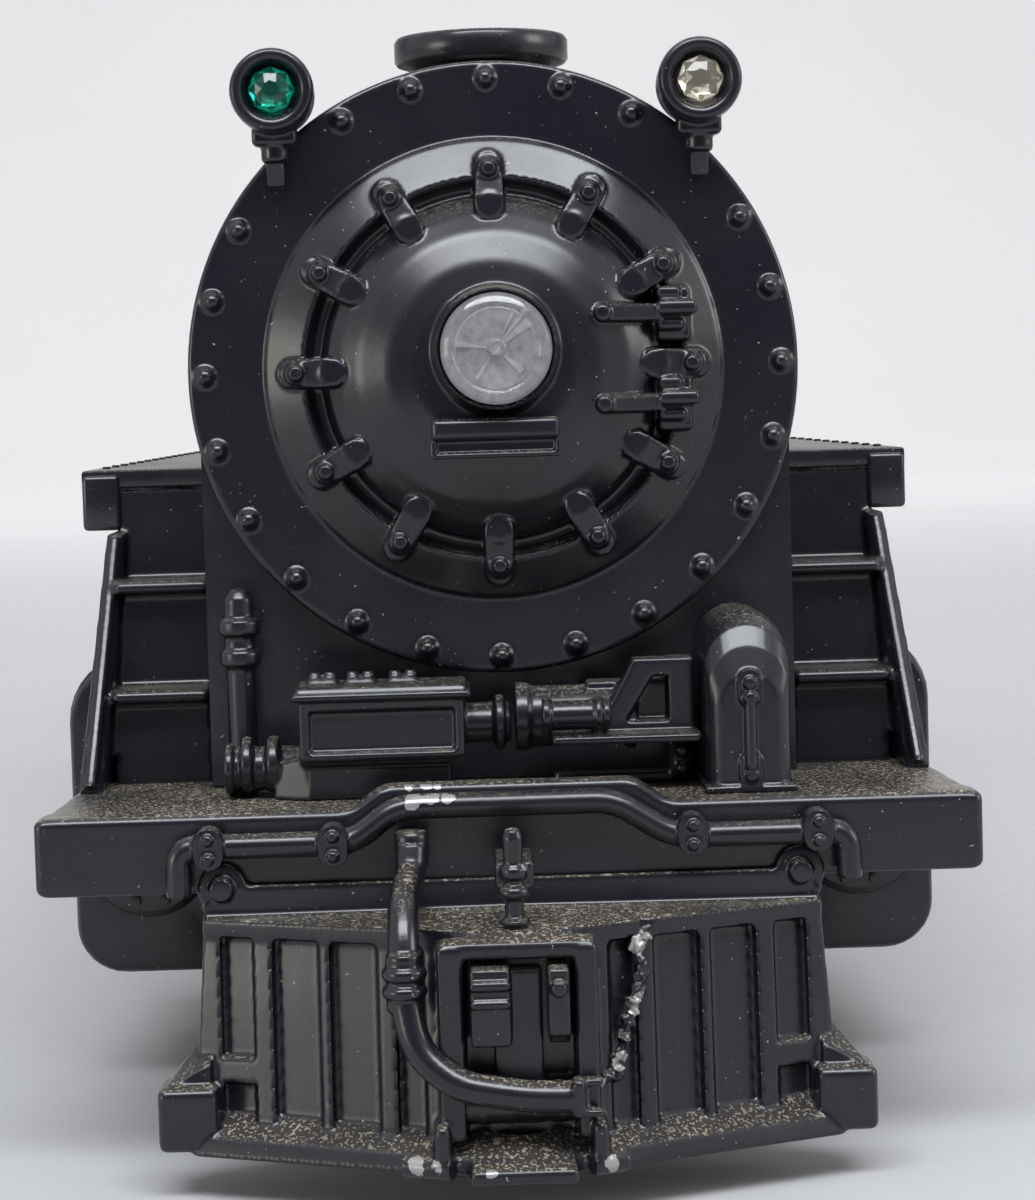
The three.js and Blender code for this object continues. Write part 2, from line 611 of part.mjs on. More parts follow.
function makeCouplerPin() {
  const y = -8.2;
  const rod = cylinder('z', 0.58, 17.7, 23.7, [0, y], 8);
  const collar = cylinder('z', 1, 19, 19.8, [0, y], 8);
  const foot = cylinder('z', 0.9, 17.7, 18.1, [0, y], 8);
  const wing = box(-0.35, 1.25, y, y + 4.6, 19.6, 21.4);
  return join(rod, collar, foot, wing);
}

function makeCutLever() {
  const y = -1.3;
  const bar = pipe([
    [-21.2, y, 19.1], [-21.2, y, 22.1], [-10.1, y, 22.1], [-7.2, y, 24.3], [6.6, y, 24.3],
    [10.4, y, 21.9], [21.6, y, 21.9], [21.6, y, 19.0],
  ], 0.85, { step: 2, sides: 6 });
  const clamps = [-19.2, -11.3, 11.6, 19.6].map((x) => join(
    box(x - 0.95, x + 0.95, -2.5, -0.3, 21.3, 23.1),
    [-0.6, 0.6].map((dz) => cylinder('y', 0.4, -2.8, -2.5, [x, 22 + dz], 4)),
  ));
  return join(bar, clamps);
}

function makeAirHose() {
  const x = -6.85;
  const path = new THREE.CatmullRomCurve3([
    [-6.3, -3.2, 22], [-6.4, -3.8, 20.4], [x, -8.2, 19.2], [x, -10.1, 16.8], [x, -10.4, 13.6],
    [-6.2, -11.2, 10.6], [-3.8, -12.1, 8.6], [0.4, -12.35, 7.9], [3.4, -12.35, 7.8],
  ].map((point) => new THREE.Vector3(...point)));
  const hose = sweep(path, 1, 18, 6);
  const socket = cylinder('y', 1.25, -3.6, -0.3, [-6.3, 21.6], 8);
  const collars = [13.9, 15.1].map((z) => cylinder('z', 1.45, z, z + 0.7, [x, -10.3], 8));
  const gladhand = [box(3.3, 4.4, -13, -11.8, 6.4, 9.2), cylinder('x', 1.2, 2.9, 3.7, [-12.35, 7.8], 8)];
  return join(hose, socket, collars, gladhand);
}

// ---------------------------------------------------------------- deck equipment

function makeFeedwaterPump() {
  const floor = BEAM_TOP_Z + GAP;
  const base = box(-13.5, -3.7, 4.6, 9.4, floor, 26.8);
  const body = box(-13.5, -2.7, 4.6, 9.6, 26.7, 30.6);
  const panel = box(-12.9, -3.3, 4, 5, 27.3, 30);
  const lid = box(-14, -2.2, 4, 10, 30.6, 31.5);
  const bolts = [-12, -9.5, -6.7].map((x) => box(x - 1.1, x + 1.1, 5.9, 6.9, 31.4, 32));
  const link = cylinder('x', 1.5, -2.9, 0.2, [8.6, 28.5], 8);
  const riserX = -17.7;
  const riser = cylinder('z', 1, 25.5, 37.2, [riserX, 11.6], 8);
  const cap = cylinder('z', 1, 37.2, 37.8, [riserX, 11.6], 8, 0.5);
  const unions = [33.1, 35.2].map((z) => cylinder('z', 1.45, z - 0.5, z + 0.5, [riserX, 11.6], 8));
  const elbow = cylinder('x', 1.5, -18.6, -13, [8, 25.9], 8);
  const nuts = [-17.2, -15.4].map((x) => cylinder('x', 1.9, x - 0.4, x + 0.4, [8, 26.2], 8));
  const foot = box(-18.7, -16.7, 8, 12.4, floor, 26.4);
  return cut(join(base, body, lid, bolts, link, riser, cap, unions, elbow, nuts, foot), panel);
}

function makePumpBracket() {
  const floor = BEAM_TOP_Z + GAP;
  const barrel = cylinder('x', 2.3, 0.6, 9, [9.6, 28.6], 12);
  const valve = cylinder('x', 1, 2.6, 7, [5.6, 29], 8);
  const stem = box(5.6, 7, 5.6, 9.6, 28.2, 29.8);
  const shelf = box(3, 12.7, 4.4, 11, 27.2, 27.9);
  const gusset = prism('y', outline([[6.2, 27.8], [12.7, 27.8], [12.7, 32.9], [8.9, 32.5]]), 10.4, 11.9);
  const window = prism('y', outline([[8.7, 28.4], [10.9, 28.4], [10.9, 31]]), 10, 12.5);
  const post = box(10.9, 12.7, 8.6, 11.9, floor, 32.3);
  const bolts = [25, 26.2, 30.4, 31.8].map((z) => cylinder('y', 0.45, 8.2, 8.6, [11.9, z], 6));
  return cut(join(barrel, valve, stem, shelf, gusset, post, bolts), window);
}

function makePumpShield() {
  const floor = BEAM_TOP_Z + GAP;
  const [x0, x1] = [13.1, 18.6];
  const middle = (x0 + x1) / 2;
  const radius = (x1 - x0) / 2;
  const sideOutline = new THREE.Shape();
  sideOutline.moveTo(13.7, floor);
  sideOutline.lineTo(13.7, 35.7);
  sideOutline.lineTo(7.5, 35.7);
  sideOutline.absarc(7.5, 31.2, 4.5, Math.PI / 2, Math.PI);
  sideOutline.lineTo(3, floor);
  const side = prism('x', sideOutline, x0, x1);
  const frontOutline = new THREE.Shape();
  frontOutline.moveTo(x0, floor);
  frontOutline.lineTo(x1, floor);
  frontOutline.lineTo(x1, 33);
  frontOutline.absarc(middle, 33, radius, 0, Math.PI);
  const front = prism('y', frontOutline, 2.4, 14);
  const strap = box(middle - 0.4, middle + 0.4, 2.3, 3.2, 25.6, 30.8);
  const ears = [25.2, 31.2].map((z) => join(
    cylinder('y', 1, 2.5, 3.4, [middle, z], 8), cylinder('y', 0.5, 2.1, 2.6, [middle, z], 6)));
  return join(side.intersect(front), strap, ears);
}

// ---------------------------------------------------------------- frame

function gearCentres() {
  const axle = { y: DRIVER_Y.main, z: DRIVER_Z };
  const idlerDistance = (GEAR_MODULE * (TEETH.axle + TEETH.idler)) / 2 + MESH_SLACK;
  const idlerAngle = THREE.MathUtils.degToRad(62);
  const idler = {
    y: axle.y + idlerDistance * Math.cos(idlerAngle),
    z: axle.z + idlerDistance * Math.sin(idlerAngle),
  };
  const pinionDistance = (GEAR_MODULE * (TEETH.idler + TEETH.pinion)) / 2 + MESH_SLACK;
  const pinionAngle = THREE.MathUtils.degToRad(66);
  const pinion = {
    y: idler.y + pinionDistance * Math.cos(pinionAngle),
    z: idler.z + pinionDistance * Math.sin(pinionAngle),
  };
  const idlerPhase = meshedPhase(TEETH.axle, idlerAngle, TEETH.idler, idlerAngle);
  const pinionPhase = meshedPhase(TEETH.idler, idlerPhase, TEETH.pinion, pinionAngle);
  return { axle, idler, pinion, axlePhase: idlerAngle, idlerPhase, pinionPhase };
}

// Angle of a gear's first tooth, when it meshes with a gear whose first tooth is at the given
// angle. The direction points from the first gear's centre to the second one's.
function meshedPhase(teeth, firstTooth, otherTeeth, direction) {
  const lead = firstTooth - direction;
  return direction + Math.PI + Math.PI / otherTeeth - (lead * teeth) / otherTeeth;
}

const GEARS = gearCentres();

function makeMainFrame() {
  const { inner, outer, front, back, low, high } = FRAME;
  const { idler, pinion } = GEARS;
  const parts = [];
  for (const sign of [-1, 1]) {
    parts.push(box(sign * inner, sign * outer, front, back, low, high));
    parts.push(box(sign * inner, sign * outer, idler.y - 6, pinion.y + 6, high - 1, pinion.z + 4));
  }
  const saddle = outline([
    [-20.3, 21], [20.3, 21], [20.3, CYLINDER.high], [17, 38.5], [-17, 38.5], [-20.3, CYLINDER.high]]);
  parts.push(prism('y', saddle, CYLINDER.front + 2, CYLINDER.back - 2));
  parts.push(box(-outer, outer, CYLINDER.back - 3, front + 2, 24, high));
  parts.push(box(-inner - 1, inner + 1, front, 109, 28, high));
  parts.push(box(-inner - 1, inner + 1, 158, back, 25.5, high));
  const { half, end } = FRAME_TAIL;
  parts.push(box(-half, half, back - 2, end, FRAME_TAIL.low, FRAME_TAIL.high));
  parts.push(box(-half, half, 238, 252, FRAME_TAIL.high - 1, CAB.floor - GAP));
  parts.push(pivotStud(LEAD.pivot, 21.5, 12.4));
  parts.push(pivotStud(TRAIL.pivot, FRAME_TAIL.low + 0.5, 18.4));
  parts.push(pivotStud(DRAWBAR.pivot, FRAME_TAIL.low + 0.5, DRAWBAR.low - 1.5));
  parts.push(cylinder('x', 1.2, inner + 0.5, GEAR_X.inner - 1, [idler.y, idler.z], 10));
  const axleHoles = Object.values(DRIVER_Y).map(
    (y) => cylinder('x', DRIVER.axle + 0.5, -14, 14, [y, DRIVER_Z], 10));
  const shaftHole = cylinder('x', 1.7, -14, 14, [pinion.y, pinion.z], 10);
  return cut(join(parts), axleHoles, shaftHole);
}

function pivotStud(y, top, bottom) {
  const stud = cylinder('z', 1.5, bottom, top, [0, y], 8);
  const head = cylinder('z', 3, bottom, bottom + 1.2, [0, y], 8);
  return join(stud, head);
}

// ---------------------------------------------------------------- cylinders and motion

function cylinderOutline(sign) {
  const { inner, outer, low, high } = CYLINDER;
  const bottomR = 3.5;
  const topR = 5;
  const shape = new THREE.Shape();
  shape.moveTo(inner, low + 1);
  shape.lineTo(inner + 1, low);
  shape.lineTo(outer - bottomR, low);
  shape.absarc(outer - bottomR, low + bottomR, bottomR, -Math.PI / 2, 0);
  shape.lineTo(outer, high - topR);
  shape.absarc(outer - topR, high - topR, topR, 0, Math.PI / 2);
  shape.lineTo(inner, high);
  const points = shape.getPoints(4).map((point) => new THREE.Vector2(sign * point.x, point.y));
  return new THREE.Shape(points);
}

function makeCylinder(sign) {
  const { front, back, high } = CYLINDER;
  const x = sign * PISTON_X;
  const block = prism('y', cylinderOutline(sign), front, back);
  const chestZ = high - 5.6;
  const covers = [
    cylinder('y', 4.6, front - 0.9, front + 1, [x, DRIVER_Z - 1.5], 12),
    cylinder('y', 3.2, front - 0.9, front + 1, [x, chestZ], 8),
    cylinder('y', 4.6, back - 1, back + 0.9, [x, DRIVER_Z - 1.5], 12),
    cylinder('y', 2.1, back - 1, back + 1.6, [x, DRIVER_Z], 10),
    cylinder('y', 1.4, back - 1, back + 4, [x, chestZ], 8),
  ];
  const bore = cylinder('y', PISTON_ROD_R + 0.5, back - 18, back + 3, [x, DRIVER_Z], 10);
  return cut(join(block, covers), bore);
}

const GUIDE_Z = { low: [14.5, 15.9], high: [21.7, 23.1] };

function makeGuides(sign) {
  const { inner, outer, end } = GUIDE;
  const start = CYLINDER.back + 1.9;
  const bars = [GUIDE_Z.low, GUIDE_Z.high].map(
    ([z0, z1]) => box(sign * inner, sign * outer, start, end, z0, z1));
  const yoke = box(sign * inner, sign * outer, end - 1.4, end, GUIDE_Z.low[0], BOARD_TOP_Z - BOARD_PLATE - GAP);
  return join(bars, yoke);
}

// Wrist pin station for a crank angle, measured in the Y-Z plane from +Y towards +Z.
function wristStation(crank) {
  const pinY = DRIVER_Y.main + THROW * Math.cos(crank);
  const rise = THROW * Math.sin(crank);
  return pinY - Math.sqrt(MAIN_ROD.length ** 2 - rise ** 2);
}

function crankPin(axleY, crank) {
  return { y: axleY + THROW * Math.cos(crank), z: DRIVER_Z + THROW * Math.sin(crank) };
}

function makeCrosshead(sign, crank) {
  const y = wristStation(crank);
  const inner = sign * (GUIDE.inner + 0.1);
  const outer = sign * (GUIDE.outer - 0.1);
  const body = prism('x', outline([
    [y - 4.5, GUIDE_Z.low[1] + GAP], [y + 4.5, GUIDE_Z.low[1] + GAP], [y + 4.5, 17.4], [y + 3, DRIVER_Z],
    [y + 4.5, 20.2], [y + 4.5, GUIDE_Z.high[0] - GAP], [y - 4.5, GUIDE_Z.high[0] - GAP],
  ]), inner, outer);
  const pinHead = cylinder('x', 1.5, sign * GUIDE.outer - sign * 0.4, sign * (GUIDE.outer + 0.7),
    [y, DRIVER_Z], 6);
  const pistonRod = cylinder('y', PISTON_ROD_R, y - 22, y - 4, [sign * PISTON_X, DRIVER_Z], 10);
  return join(body, pinHead, pistonRod);
}

function rodOutline(length, bigR, smallR, halfWeb) {
  const shape = new THREE.Shape();
  const bigAngle = Math.asin(halfWeb / bigR);
  const smallAngle = Math.asin(halfWeb / smallR);
  shape.absarc(0, 0, bigR, -Math.PI + bigAngle, Math.PI - bigAngle);
  shape.absarc(-length, 0, smallR, smallAngle, Math.PI * 2 - smallAngle);
  return shape;
}

function makeMainRod(sign, crank) {
  const pin = crankPin(DRIVER_Y.main, crank);
  const rise = DRIVER_Z - pin.z;
  const lean = Math.asin(rise / MAIN_ROD.length);
  const shape = rodOutline(MAIN_ROD.length, 3.4, 2.4, 1.3);
  const bar = prism('x', shape, sign * MAIN_ROD.inner, sign * MAIN_ROD.outer, { curve: 8 });
  const pinHole = cylinder('x', CRANK_PIN_R + 0.45, sign * 20, sign * 26, [0, 0], 12);
  const wristHole = cylinder('x', 0.9, sign * 20, sign * 26, [-MAIN_ROD.length, 0], 8);
  const level = cut(bar, pinHole, wristHole);
  return level.rotate([THREE.MathUtils.radToDeg(-lean), 0, 0]).translate([0, pin.y, pin.z]);
}

function makeSideRod(sign, crank) {
  const pins = Object.values(DRIVER_Y).map((y) => crankPin(y, crank));
  const [first, , last] = pins;
  const x = [sign * SIDE_ROD.inner, sign * SIDE_ROD.outer];
  const bar = box(...x, first.y, last.y, first.z - 1.3, first.z + 1.3);
  const bosses = pins.map((pin) => cylinder('x', 3, ...x, [pin.y, pin.z], 10));
  const holes = pins.map((pin) => cylinder('x', CRANK_PIN_R + 0.4, sign * 19, sign * 23, [pin.y, pin.z], 8));
  return cut(join(bar, bosses), holes);
}

// ---------------------------------------------------------------- wheels

const SPOKES = 12;

function spokeWindow(index) {
  const pitch = (Math.PI * 2) / SPOKES;
  const middle = (index + 0.5) * pitch;
  const corner = (radius, halfBar, side) => {
    const angle = middle + side * (pitch / 2 - Math.asin(halfBar / radius));
    return new THREE.Vector2(radius * Math.cos(angle), radius * Math.sin(angle));
  };
  return new THREE.Path([
    corner(6, 0.85, -1), corner(13.3, 0.7, -1), corner(13.3, 0.7, 1), corner(6, 0.85, 1)]);
}

function makeDriverWheel(sign, crank, headFace) {
  const { tread, flange, outer, rim, hub } = DRIVER;
  const tyreProfile = [
    [rim - 0.6, BACK_TO_BACK], [flange, BACK_TO_BACK + 0.2], [flange - 0.2, BACK_TO_BACK + 0.9],
    [tread, BACK_TO_BACK + 1.5], [tread, outer], [rim - 0.6, outer], [rim - 0.6, BACK_TO_BACK],
  ];
  const tyre = turned('x', tyreProfile, [0, 0], 22);
  const webShape = new THREE.Shape().absarc(0, 0, rim, 0, Math.PI * 2);
  const weightAngle = crank + Math.PI;
  for (let i = 0; i < SPOKES; i += 1) {
    const middle = ((i + 0.5) * Math.PI * 2) / SPOKES;
    const isWeight = Math.cos(middle - weightAngle) > 0.8;
    if (!isWeight) webShape.holes.push(spokeWindow(i));
  }
  const web = prism('x', webShape, BACK_TO_BACK + 1.4, outer - 0.9, { curve: 8 });
  const boss = cylinder('x', hub, BACK_TO_BACK, outer + 0.4, [0, 0], 10);
  const pin = crankPin(0, crank);
  const pinPlace = [pin.y, pin.z - DRIVER_Z];
  const crankBoss = cylinder('x', 2.7, BACK_TO_BACK + 1.4, outer + 0.7, pinPlace, 8);
  const crankPost = cylinder('x', CRANK_PIN_R, outer, headFace + 0.3, pinPlace, 8);
  const crankHead = cylinder('x', 2.1, headFace, headFace + 0.6, pinPlace, 6);
  const wheel = join(tyre, web, boss, crankBoss, crankPost, crankHead);
  return sign > 0 ? wheel : wheel.mirror([1, 0, 0]);
}

// Gear of straight-sided teeth. The first tooth points along the given angle.
function gearOutline(teeth, firstAngle) {
  const pitchR = (GEAR_MODULE * teeth) / 2;
  const rootR = pitchR - 1.15 * GEAR_MODULE;
  const tipR = pitchR + 0.85 * GEAR_MODULE;
  const pitch = (Math.PI * 2) / teeth;
  const points = [];
  for (let i = 0; i < teeth; i += 1) {
    const middle = firstAngle + i * pitch;
    for (const [radius, share] of [[rootR, -0.3], [tipR, -0.1], [tipR, 0.1], [rootR, 0.3]]) {
      const angle = middle + share * pitch;
      points.push([radius * Math.cos(angle), radius * Math.sin(angle)]);
    }
  }
  return outline(points);
}

function makeGear(teeth, firstAngle, centre, bore) {
  const shape = gearOutline(teeth, firstAngle);
  if (bore > 0) shape.holes.push(new THREE.Path().absarc(0, 0, bore, 0, Math.PI * 2));
  const gear = prism('x', shape, GEAR_X.inner, GEAR_X.outer, { curve: 6 });
  return gear.translate([0, centre.y, centre.z]);
}

function makeDrivers(station) {
  const y = DRIVER_Y[station];
  const headFace = station === 'main' ? MAIN_ROD.outer + GAP : SIDE_ROD.outer + GAP;
  const wheels = SIDES.map(({ sign, crank }) => makeDriverWheel(sign, crank, headFace));
  const axle = cylinder('x', DRIVER.axle, -BACK_TO_BACK - 1, BACK_TO_BACK + 1, [0, 0], 10);
  const set = join(wheels, axle).translate([0, y, DRIVER_Z]);
  return station === 'main' ? join(set, makeGear(TEETH.axle, GEARS.axlePhase, GEARS.axle, 0)) : set;
}

function makeTruckWheels(y, truck, axleEnd) {
  const { tread, flange, outer } = truck;
  const profile = [
    [0, BACK_TO_BACK], [flange, BACK_TO_BACK + 0.2], [flange - 0.2, BACK_TO_BACK + 0.8],
    [tread, BACK_TO_BACK + 1.2], [tread, outer], [tread - 1.8, outer], [tread - 2.2, outer - 0.8],
    [0, outer - 0.8],
  ];
  const wheel = turned('x', profile, [0, 0], 16);
  const axle = cylinder('x', TRUCK_AXLE_R, -axleEnd, axleEnd, [0, 0], 8);
  return join(wheel, wheel.mirror([1, 0, 0]), axle).translate([0, y, flange]);
}

// ---------------------------------------------------------------- trucks

function makeLeadTruck() {
  const { pivot, axles, flange } = LEAD;
  const sides = [-1, 1].map((sign) => box(sign * 10.5, sign * 12.6, axles.front - 4, axles.rear + 4, 6.4, 13));
  const bolster = box(-12.6, 12.6, pivot - 5, pivot + 5, 12.5, 16);
  const under = box(-9, 9, pivot - 6, pivot + 6, 11, 14);
  const bars = [axles.front - 3.2, axles.rear + 1.4].map((y) => box(-12, 12, y, y + 1.8, 10.9, 12.9));
  const pivotHole = cylinder('z', 2.1, 5, 20, [0, pivot], 12);
  const headRoom = cylinder('z', 3.6, 5, 14, [0, pivot], 12);
  const axleHoles = Object.values(axles).map(
    (y) => cylinder('x', TRUCK_AXLE_R + 0.45, -14, 14, [y, flange], 8));
  return cut(join(sides, bolster, bars), under, pivotHole, headRoom, axleHoles);
}

function makeTrailingTruck() {
  const { pivot, axles, flange } = TRAIL;
  const [x0, x1] = [20.3, 23.3];
  const parts = [];
  const holes = [];
  for (const sign of [-1, 1]) {
    const side = outline([
      [axles.front - 8, 9], [axles.front - 5, 6.4], [axles.rear + 5, 6.4], [axles.rear + 13.4, 12],
      [axles.rear + 13.4, 16], [axles.rear + 4, 17], [axles.front - 4, 17], [axles.front - 8, 14],
    ]);
    parts.push(prism('x', side, sign * x0, sign * x1));
    for (const y of Object.values(axles)) {
      parts.push(box(sign * x1, sign * (x1 + 1), y - 2.6, y + 2.6, flange - 3, flange + 3.2));
      holes.push(cylinder('x', TRUCK_AXLE_R + 0.45, sign * (x0 - 1), sign * (x0 + 1.9), [y, flange], 8));
    }
    const springY = (axles.front + axles.rear) / 2;
    holes.push(prism('x', outline([
      [springY - 7, 8.6], [springY + 7, 8.6], [springY + 5, 12], [springY - 5, 12]]), sign * 19, sign * 25));
  }
  const middleY = (axles.front + axles.rear) / 2;
  parts.push(box(-x1 + 1, x1 - 1, middleY - 1.5, middleY + 1.5, 13, 20));
  parts.push(box(-x1 + 1, x1 - 1, axles.rear + 11.4, axles.rear + 13.4, 13, 16));
  parts.push(box(-4.5, 4.5, pivot - 4.5, middleY + 1.5, 20.4, 22.6));
  parts.push(box(-4.5, 4.5, middleY - 1.5, middleY + 1.5, 19, 21));
  const pivotHole = cylinder('z', 2.1, 15, 25, [0, pivot], 12);
  return cut(join(parts), holes, pivotHole);
}

// ---------------------------------------------------------------- drive and electrics

const ROTOR_R = 11;

function makeMotorField() {
  const { pinion } = GEARS;
  const plates = prism('x', roundedOutline(pinion.y - 15.5, pinion.y + 15.5, pinion.z - 12.6,
    pinion.z + 16, 2), -5.6, 4, { curve: 2 });
  const bore = cylinder('x', ROTOR_R + 0.7, -7, 6, [pinion.y, pinion.z], 20);
  const coilWindow = [-1, 1].map((side) => box(-7, 6, pinion.y + side * 13 - 2.2, pinion.y + side * 13 + 2.2,
    pinion.z + 7.5, pinion.z + 14));
  const brushArm = box(-9.6, -5.6, pinion.y - 14, pinion.y - 11, pinion.z - 4, pinion.z + 4);
  return join(cut(plates, bore, coilWindow), brushArm);
}

function makeArmature() {
  const { pinion, pinionPhase } = GEARS;
  const centre = [pinion.y, pinion.z];
  const shaft = cylinder('x', 1.2, -13.6, 13.6, centre, 10);
  const rotor = cylinder('x', ROTOR_R, -5.4, 3.8, centre, 18);
  const slots = [0, 1, 2].map((i) => {
    const angle = (i * Math.PI * 2) / 3 + 0.4;
    const tool = box(-6, 4.5, 5, 12, -1.2, 1.2).rotate([THREE.MathUtils.radToDeg(angle), 0, 0]);
    return tool.translate([0, ...centre]);
  });
  const commutator = cylinder('x', 6, -8.6, -6.2, centre, 12);
  const hub = cylinder('x', 2.4, -6.4, 6.8, centre, 10);
  return join(cut(rotor, slots), shaft, commutator, hub, makeGear(TEETH.pinion, pinionPhase, pinion, 0));
}

function makeIdler() {
  return makeGear(TEETH.idler, GEARS.idlerPhase, GEARS.idler, 1.65);
}

function makeSmokeUnit() {
  const body = box(-8, 8, 21, 38, 49, 62);
  const chimney = cylinder('z', 2.6, 61, 70.5, [0, STACK_Y], 12);
  const bore = cylinder('z', 1.6, 52, 72, [0, STACK_Y], 10);
  const tabs = box(-11.5, 11.5, 27, 33, 49, 50.2);
  const posts = [-1, 1].map((sign) => box(sign * 9.6, sign * 11.5, 27, 33, 38.8, 50.2));
  return cut(join(body, chimney, tabs, posts), bore);
}

const ROLLER = { r: 3.2, z: 4.5, half: 3, stations: { front: 97, rear: 150 }, pin: 0.7 };

function makePickupPlate() {
  const board = box(-10.9, 10.9, 88, 158, 9.4, 11.4);
  const gearSlot = box(5.8, 10.2, 109, 138, 9, 12);
  const forks = Object.values(ROLLER.stations).flatMap((y) => [-1, 1].map(
    (sign) => box(sign * 3.5, sign * 4.5, y - 1.7, y + 1.7, 2.9, 10)));
  const pins = Object.values(ROLLER.stations).map(
    (y) => cylinder('x', ROLLER.pin + 0.4, -5, 5, [y, ROLLER.z], 10));
  return cut(join(board, forks), gearSlot, pins);
}

function makeRoller(y) {
  const roller = cylinder('x', ROLLER.r, -ROLLER.half, ROLLER.half, [y, ROLLER.z], 16);
  const pin = cylinder('x', ROLLER.pin, -5, 5, [y, ROLLER.z], 8);
  return join(roller, pin);
}

const LEVER_Z = 64;

function makeReverseLever() {
  const arm = box(-0.6, 0.6, LEVER_Y - 1.1, LEVER_Y + 1.1, LEVER_Z, 78.4);
  const knob = cylinder('x', 1.5, -0.9, 0.9, [LEVER_Y, 78.4], 8);
  const hub = cylinder('x', 2, -2.4, 2.4, [LEVER_Y, LEVER_Z], 10);
  const pin = cylinder('x', 0.9, -7, 7, [LEVER_Y, LEVER_Z], 8);
  return join(arm, knob, hub, pin);
}

function makeReverseUnit() {
  const body = box(-9, 9, LEVER_Y - 9, LEVER_Y + 9, 44, 58);
  const cheeks = [-1, 1].map((sign) => box(sign * 4, sign * 5.4, LEVER_Y - 3, LEVER_Y + 3, 57, 66.4));
  const pinHole = cylinder('x', 1.4, -8, 8, [LEVER_Y, LEVER_Z], 8);
  const feet = box(-6, 6, LEVER_Y - 1.5, LEVER_Y + 4.5, FRAME_TAIL.high + GAP, 45);
  return cut(join(body, cheeks, feet), pinHole);
}

function makeDrawbar() {
  const { pivot, low, high } = DRAWBAR;
  const bar = outline([
    [-4.6, pivot - 4.6], [4.6, pivot - 4.6], [4.6, pivot + 8], [5.5, TAIL_Y - 14], [5.5, TAIL_Y - 3],
    [2.5, TAIL_Y], [-2.5, TAIL_Y], [-5.5, TAIL_Y - 3], [-5.5, TAIL_Y - 14], [-4.6, pivot + 8],
  ]);
  const holes = [
    cylinder('z', 2, low - 1, high + 1, [0, pivot], 12),
    cylinder('z', 2.2, low - 1, high + 1, [0, TAIL_Y - 5], 12),
  ];
  return cut(prism('z', bar, low, high), holes);
}

// ---------------------------------------------------------------- put it together

addPart('boiler_shell', makeBoilerShell(), 'black');
addPart('smokebox_front', makeSmokeboxFront(), 'black');
addPart('headlight_lens', makeHeadlightLens(), 'clear');
addPart('headlight_bulb', makeHeadlightBulb(), 'clear');
addPart('number_plate', makeNumberPlate(), 'black');
addPart('smokestack', makeSmokestack(), 'black');
addPart('sand_dome', makeSandDome(), 'black');
addPart('steam_dome', makeSteamDome(), 'black');
addPart('bell_bracket', makeBellBracket(), 'black');
addPart('bell', makeBell(), 'brass', [0, BELL.y, BELL.z]);
addPart('cab', makeCab(), 'black');
addPart('pilot_deck', makePilotDeck(), 'black');
addPart('pilot', makePilot(), 'black');
addPart('front_coupler', makeFrontCoupler(), 'black');
addPart('coupler_pin', makeCouplerPin(), 'black');
addPart('cut_lever', makeCutLever(), 'black');
addPart('air_hose', makeAirHose(), 'black');
addPart('feedwater_pump', makeFeedwaterPump(), 'black');
addPart('pump_bracket', makePumpBracket(), 'black');
addPart('pump_shield', makePumpShield(), 'black');
addPart('main_frame', makeMainFrame(), 'frame');
addPart('smoke_unit', makeSmokeUnit(), 'steel');
addPart('motor_field', makeMotorField(), 'steel');
addPart('pickup_plate', makePickupPlate(), 'board');
addPart('reverse_unit', makeReverseUnit(), 'board');
addPart('armature', makeArmature(), 'copper', [0, GEARS.pinion.y, GEARS.pinion.z]);
addPart('idler_gear', makeIdler(), 'brass', [0, GEARS.idler.y, GEARS.idler.z]);
addPart('reverse_lever', makeReverseLever(), 'steel', [0, LEVER_Y, LEVER_Z]);
addPart('drawbar', makeDrawbar(), 'steel', [0, DRAWBAR.pivot, DRAWBAR.low]);

for (const { name, sign, crank } of SIDES) {
  const pin = crankPin(DRIVER_Y.main, crank);
  addPart(`marker_lamp_${name}`, makeMarkerLamp(sign), 'black');
  addPart(`marker_jewel_${name}`, makeMarkerJewel(sign), sign < 0 ? 'green' : 'clear');
  addPart(`running_board_${name}`, makeRunningBoard(sign), 'black');
  addPart(`handrail_${name}`, makeHandrail(sign), 'steel');
  addPart(`front_steps_${name}`, makeFrontSteps(sign), 'black');
  addPart(`cylinder_${name}`, makeCylinder(sign), 'black');
  addPart(`crosshead_guide_${name}`, makeGuides(sign), 'steel');
  addPart(`crosshead_${name}`, makeCrosshead(sign, crank), 'steel',
    [sign * PISTON_X, wristStation(crank), DRIVER_Z]);
  addPart(`main_rod_${name}`, makeMainRod(sign, crank), 'steel', [sign * MAIN_ROD.inner, pin.y, pin.z]);
  addPart(`side_rod_${name}`, makeSideRod(sign, crank), 'steel', [sign * SIDE_ROD.inner, pin.y, pin.z]);
}

for (const station of Object.keys(DRIVER_Y)) {
  addPart(`driver_${station}`, makeDrivers(station), 'frame', [0, DRIVER_Y[station], DRIVER_Z]);
}
for (const [station, y] of Object.entries(ROLLER.stations)) {
  addPart(`pickup_roller_${station}`, makeRoller(y), 'steel', [0, y, ROLLER.z]);
}

function addTruck(name, truck, frameSolid, axleEnd) {
  const truckGroup = group(0, truck.pivot, truck.flange);
  engine.add(truckGroup);
  const pivot = [0, truck.pivot, truck.flange];
  addPart(`${name}_truck`, frameSolid, 'frame', pivot, truckGroup);
  for (const [station, y] of Object.entries(truck.axles)) {
    const wheels = makeTruckWheels(y, truck, axleEnd);
    addPart(`${name}_wheels_${station}`, wheels, 'frame', [0, y, truck.flange], truckGroup);
  }
}

addTruck('lead', LEAD, makeLeadTruck(), 14.5);
addTruck('trailing', TRAIL, makeTrailingTruck(), 21.6);

export default engine;
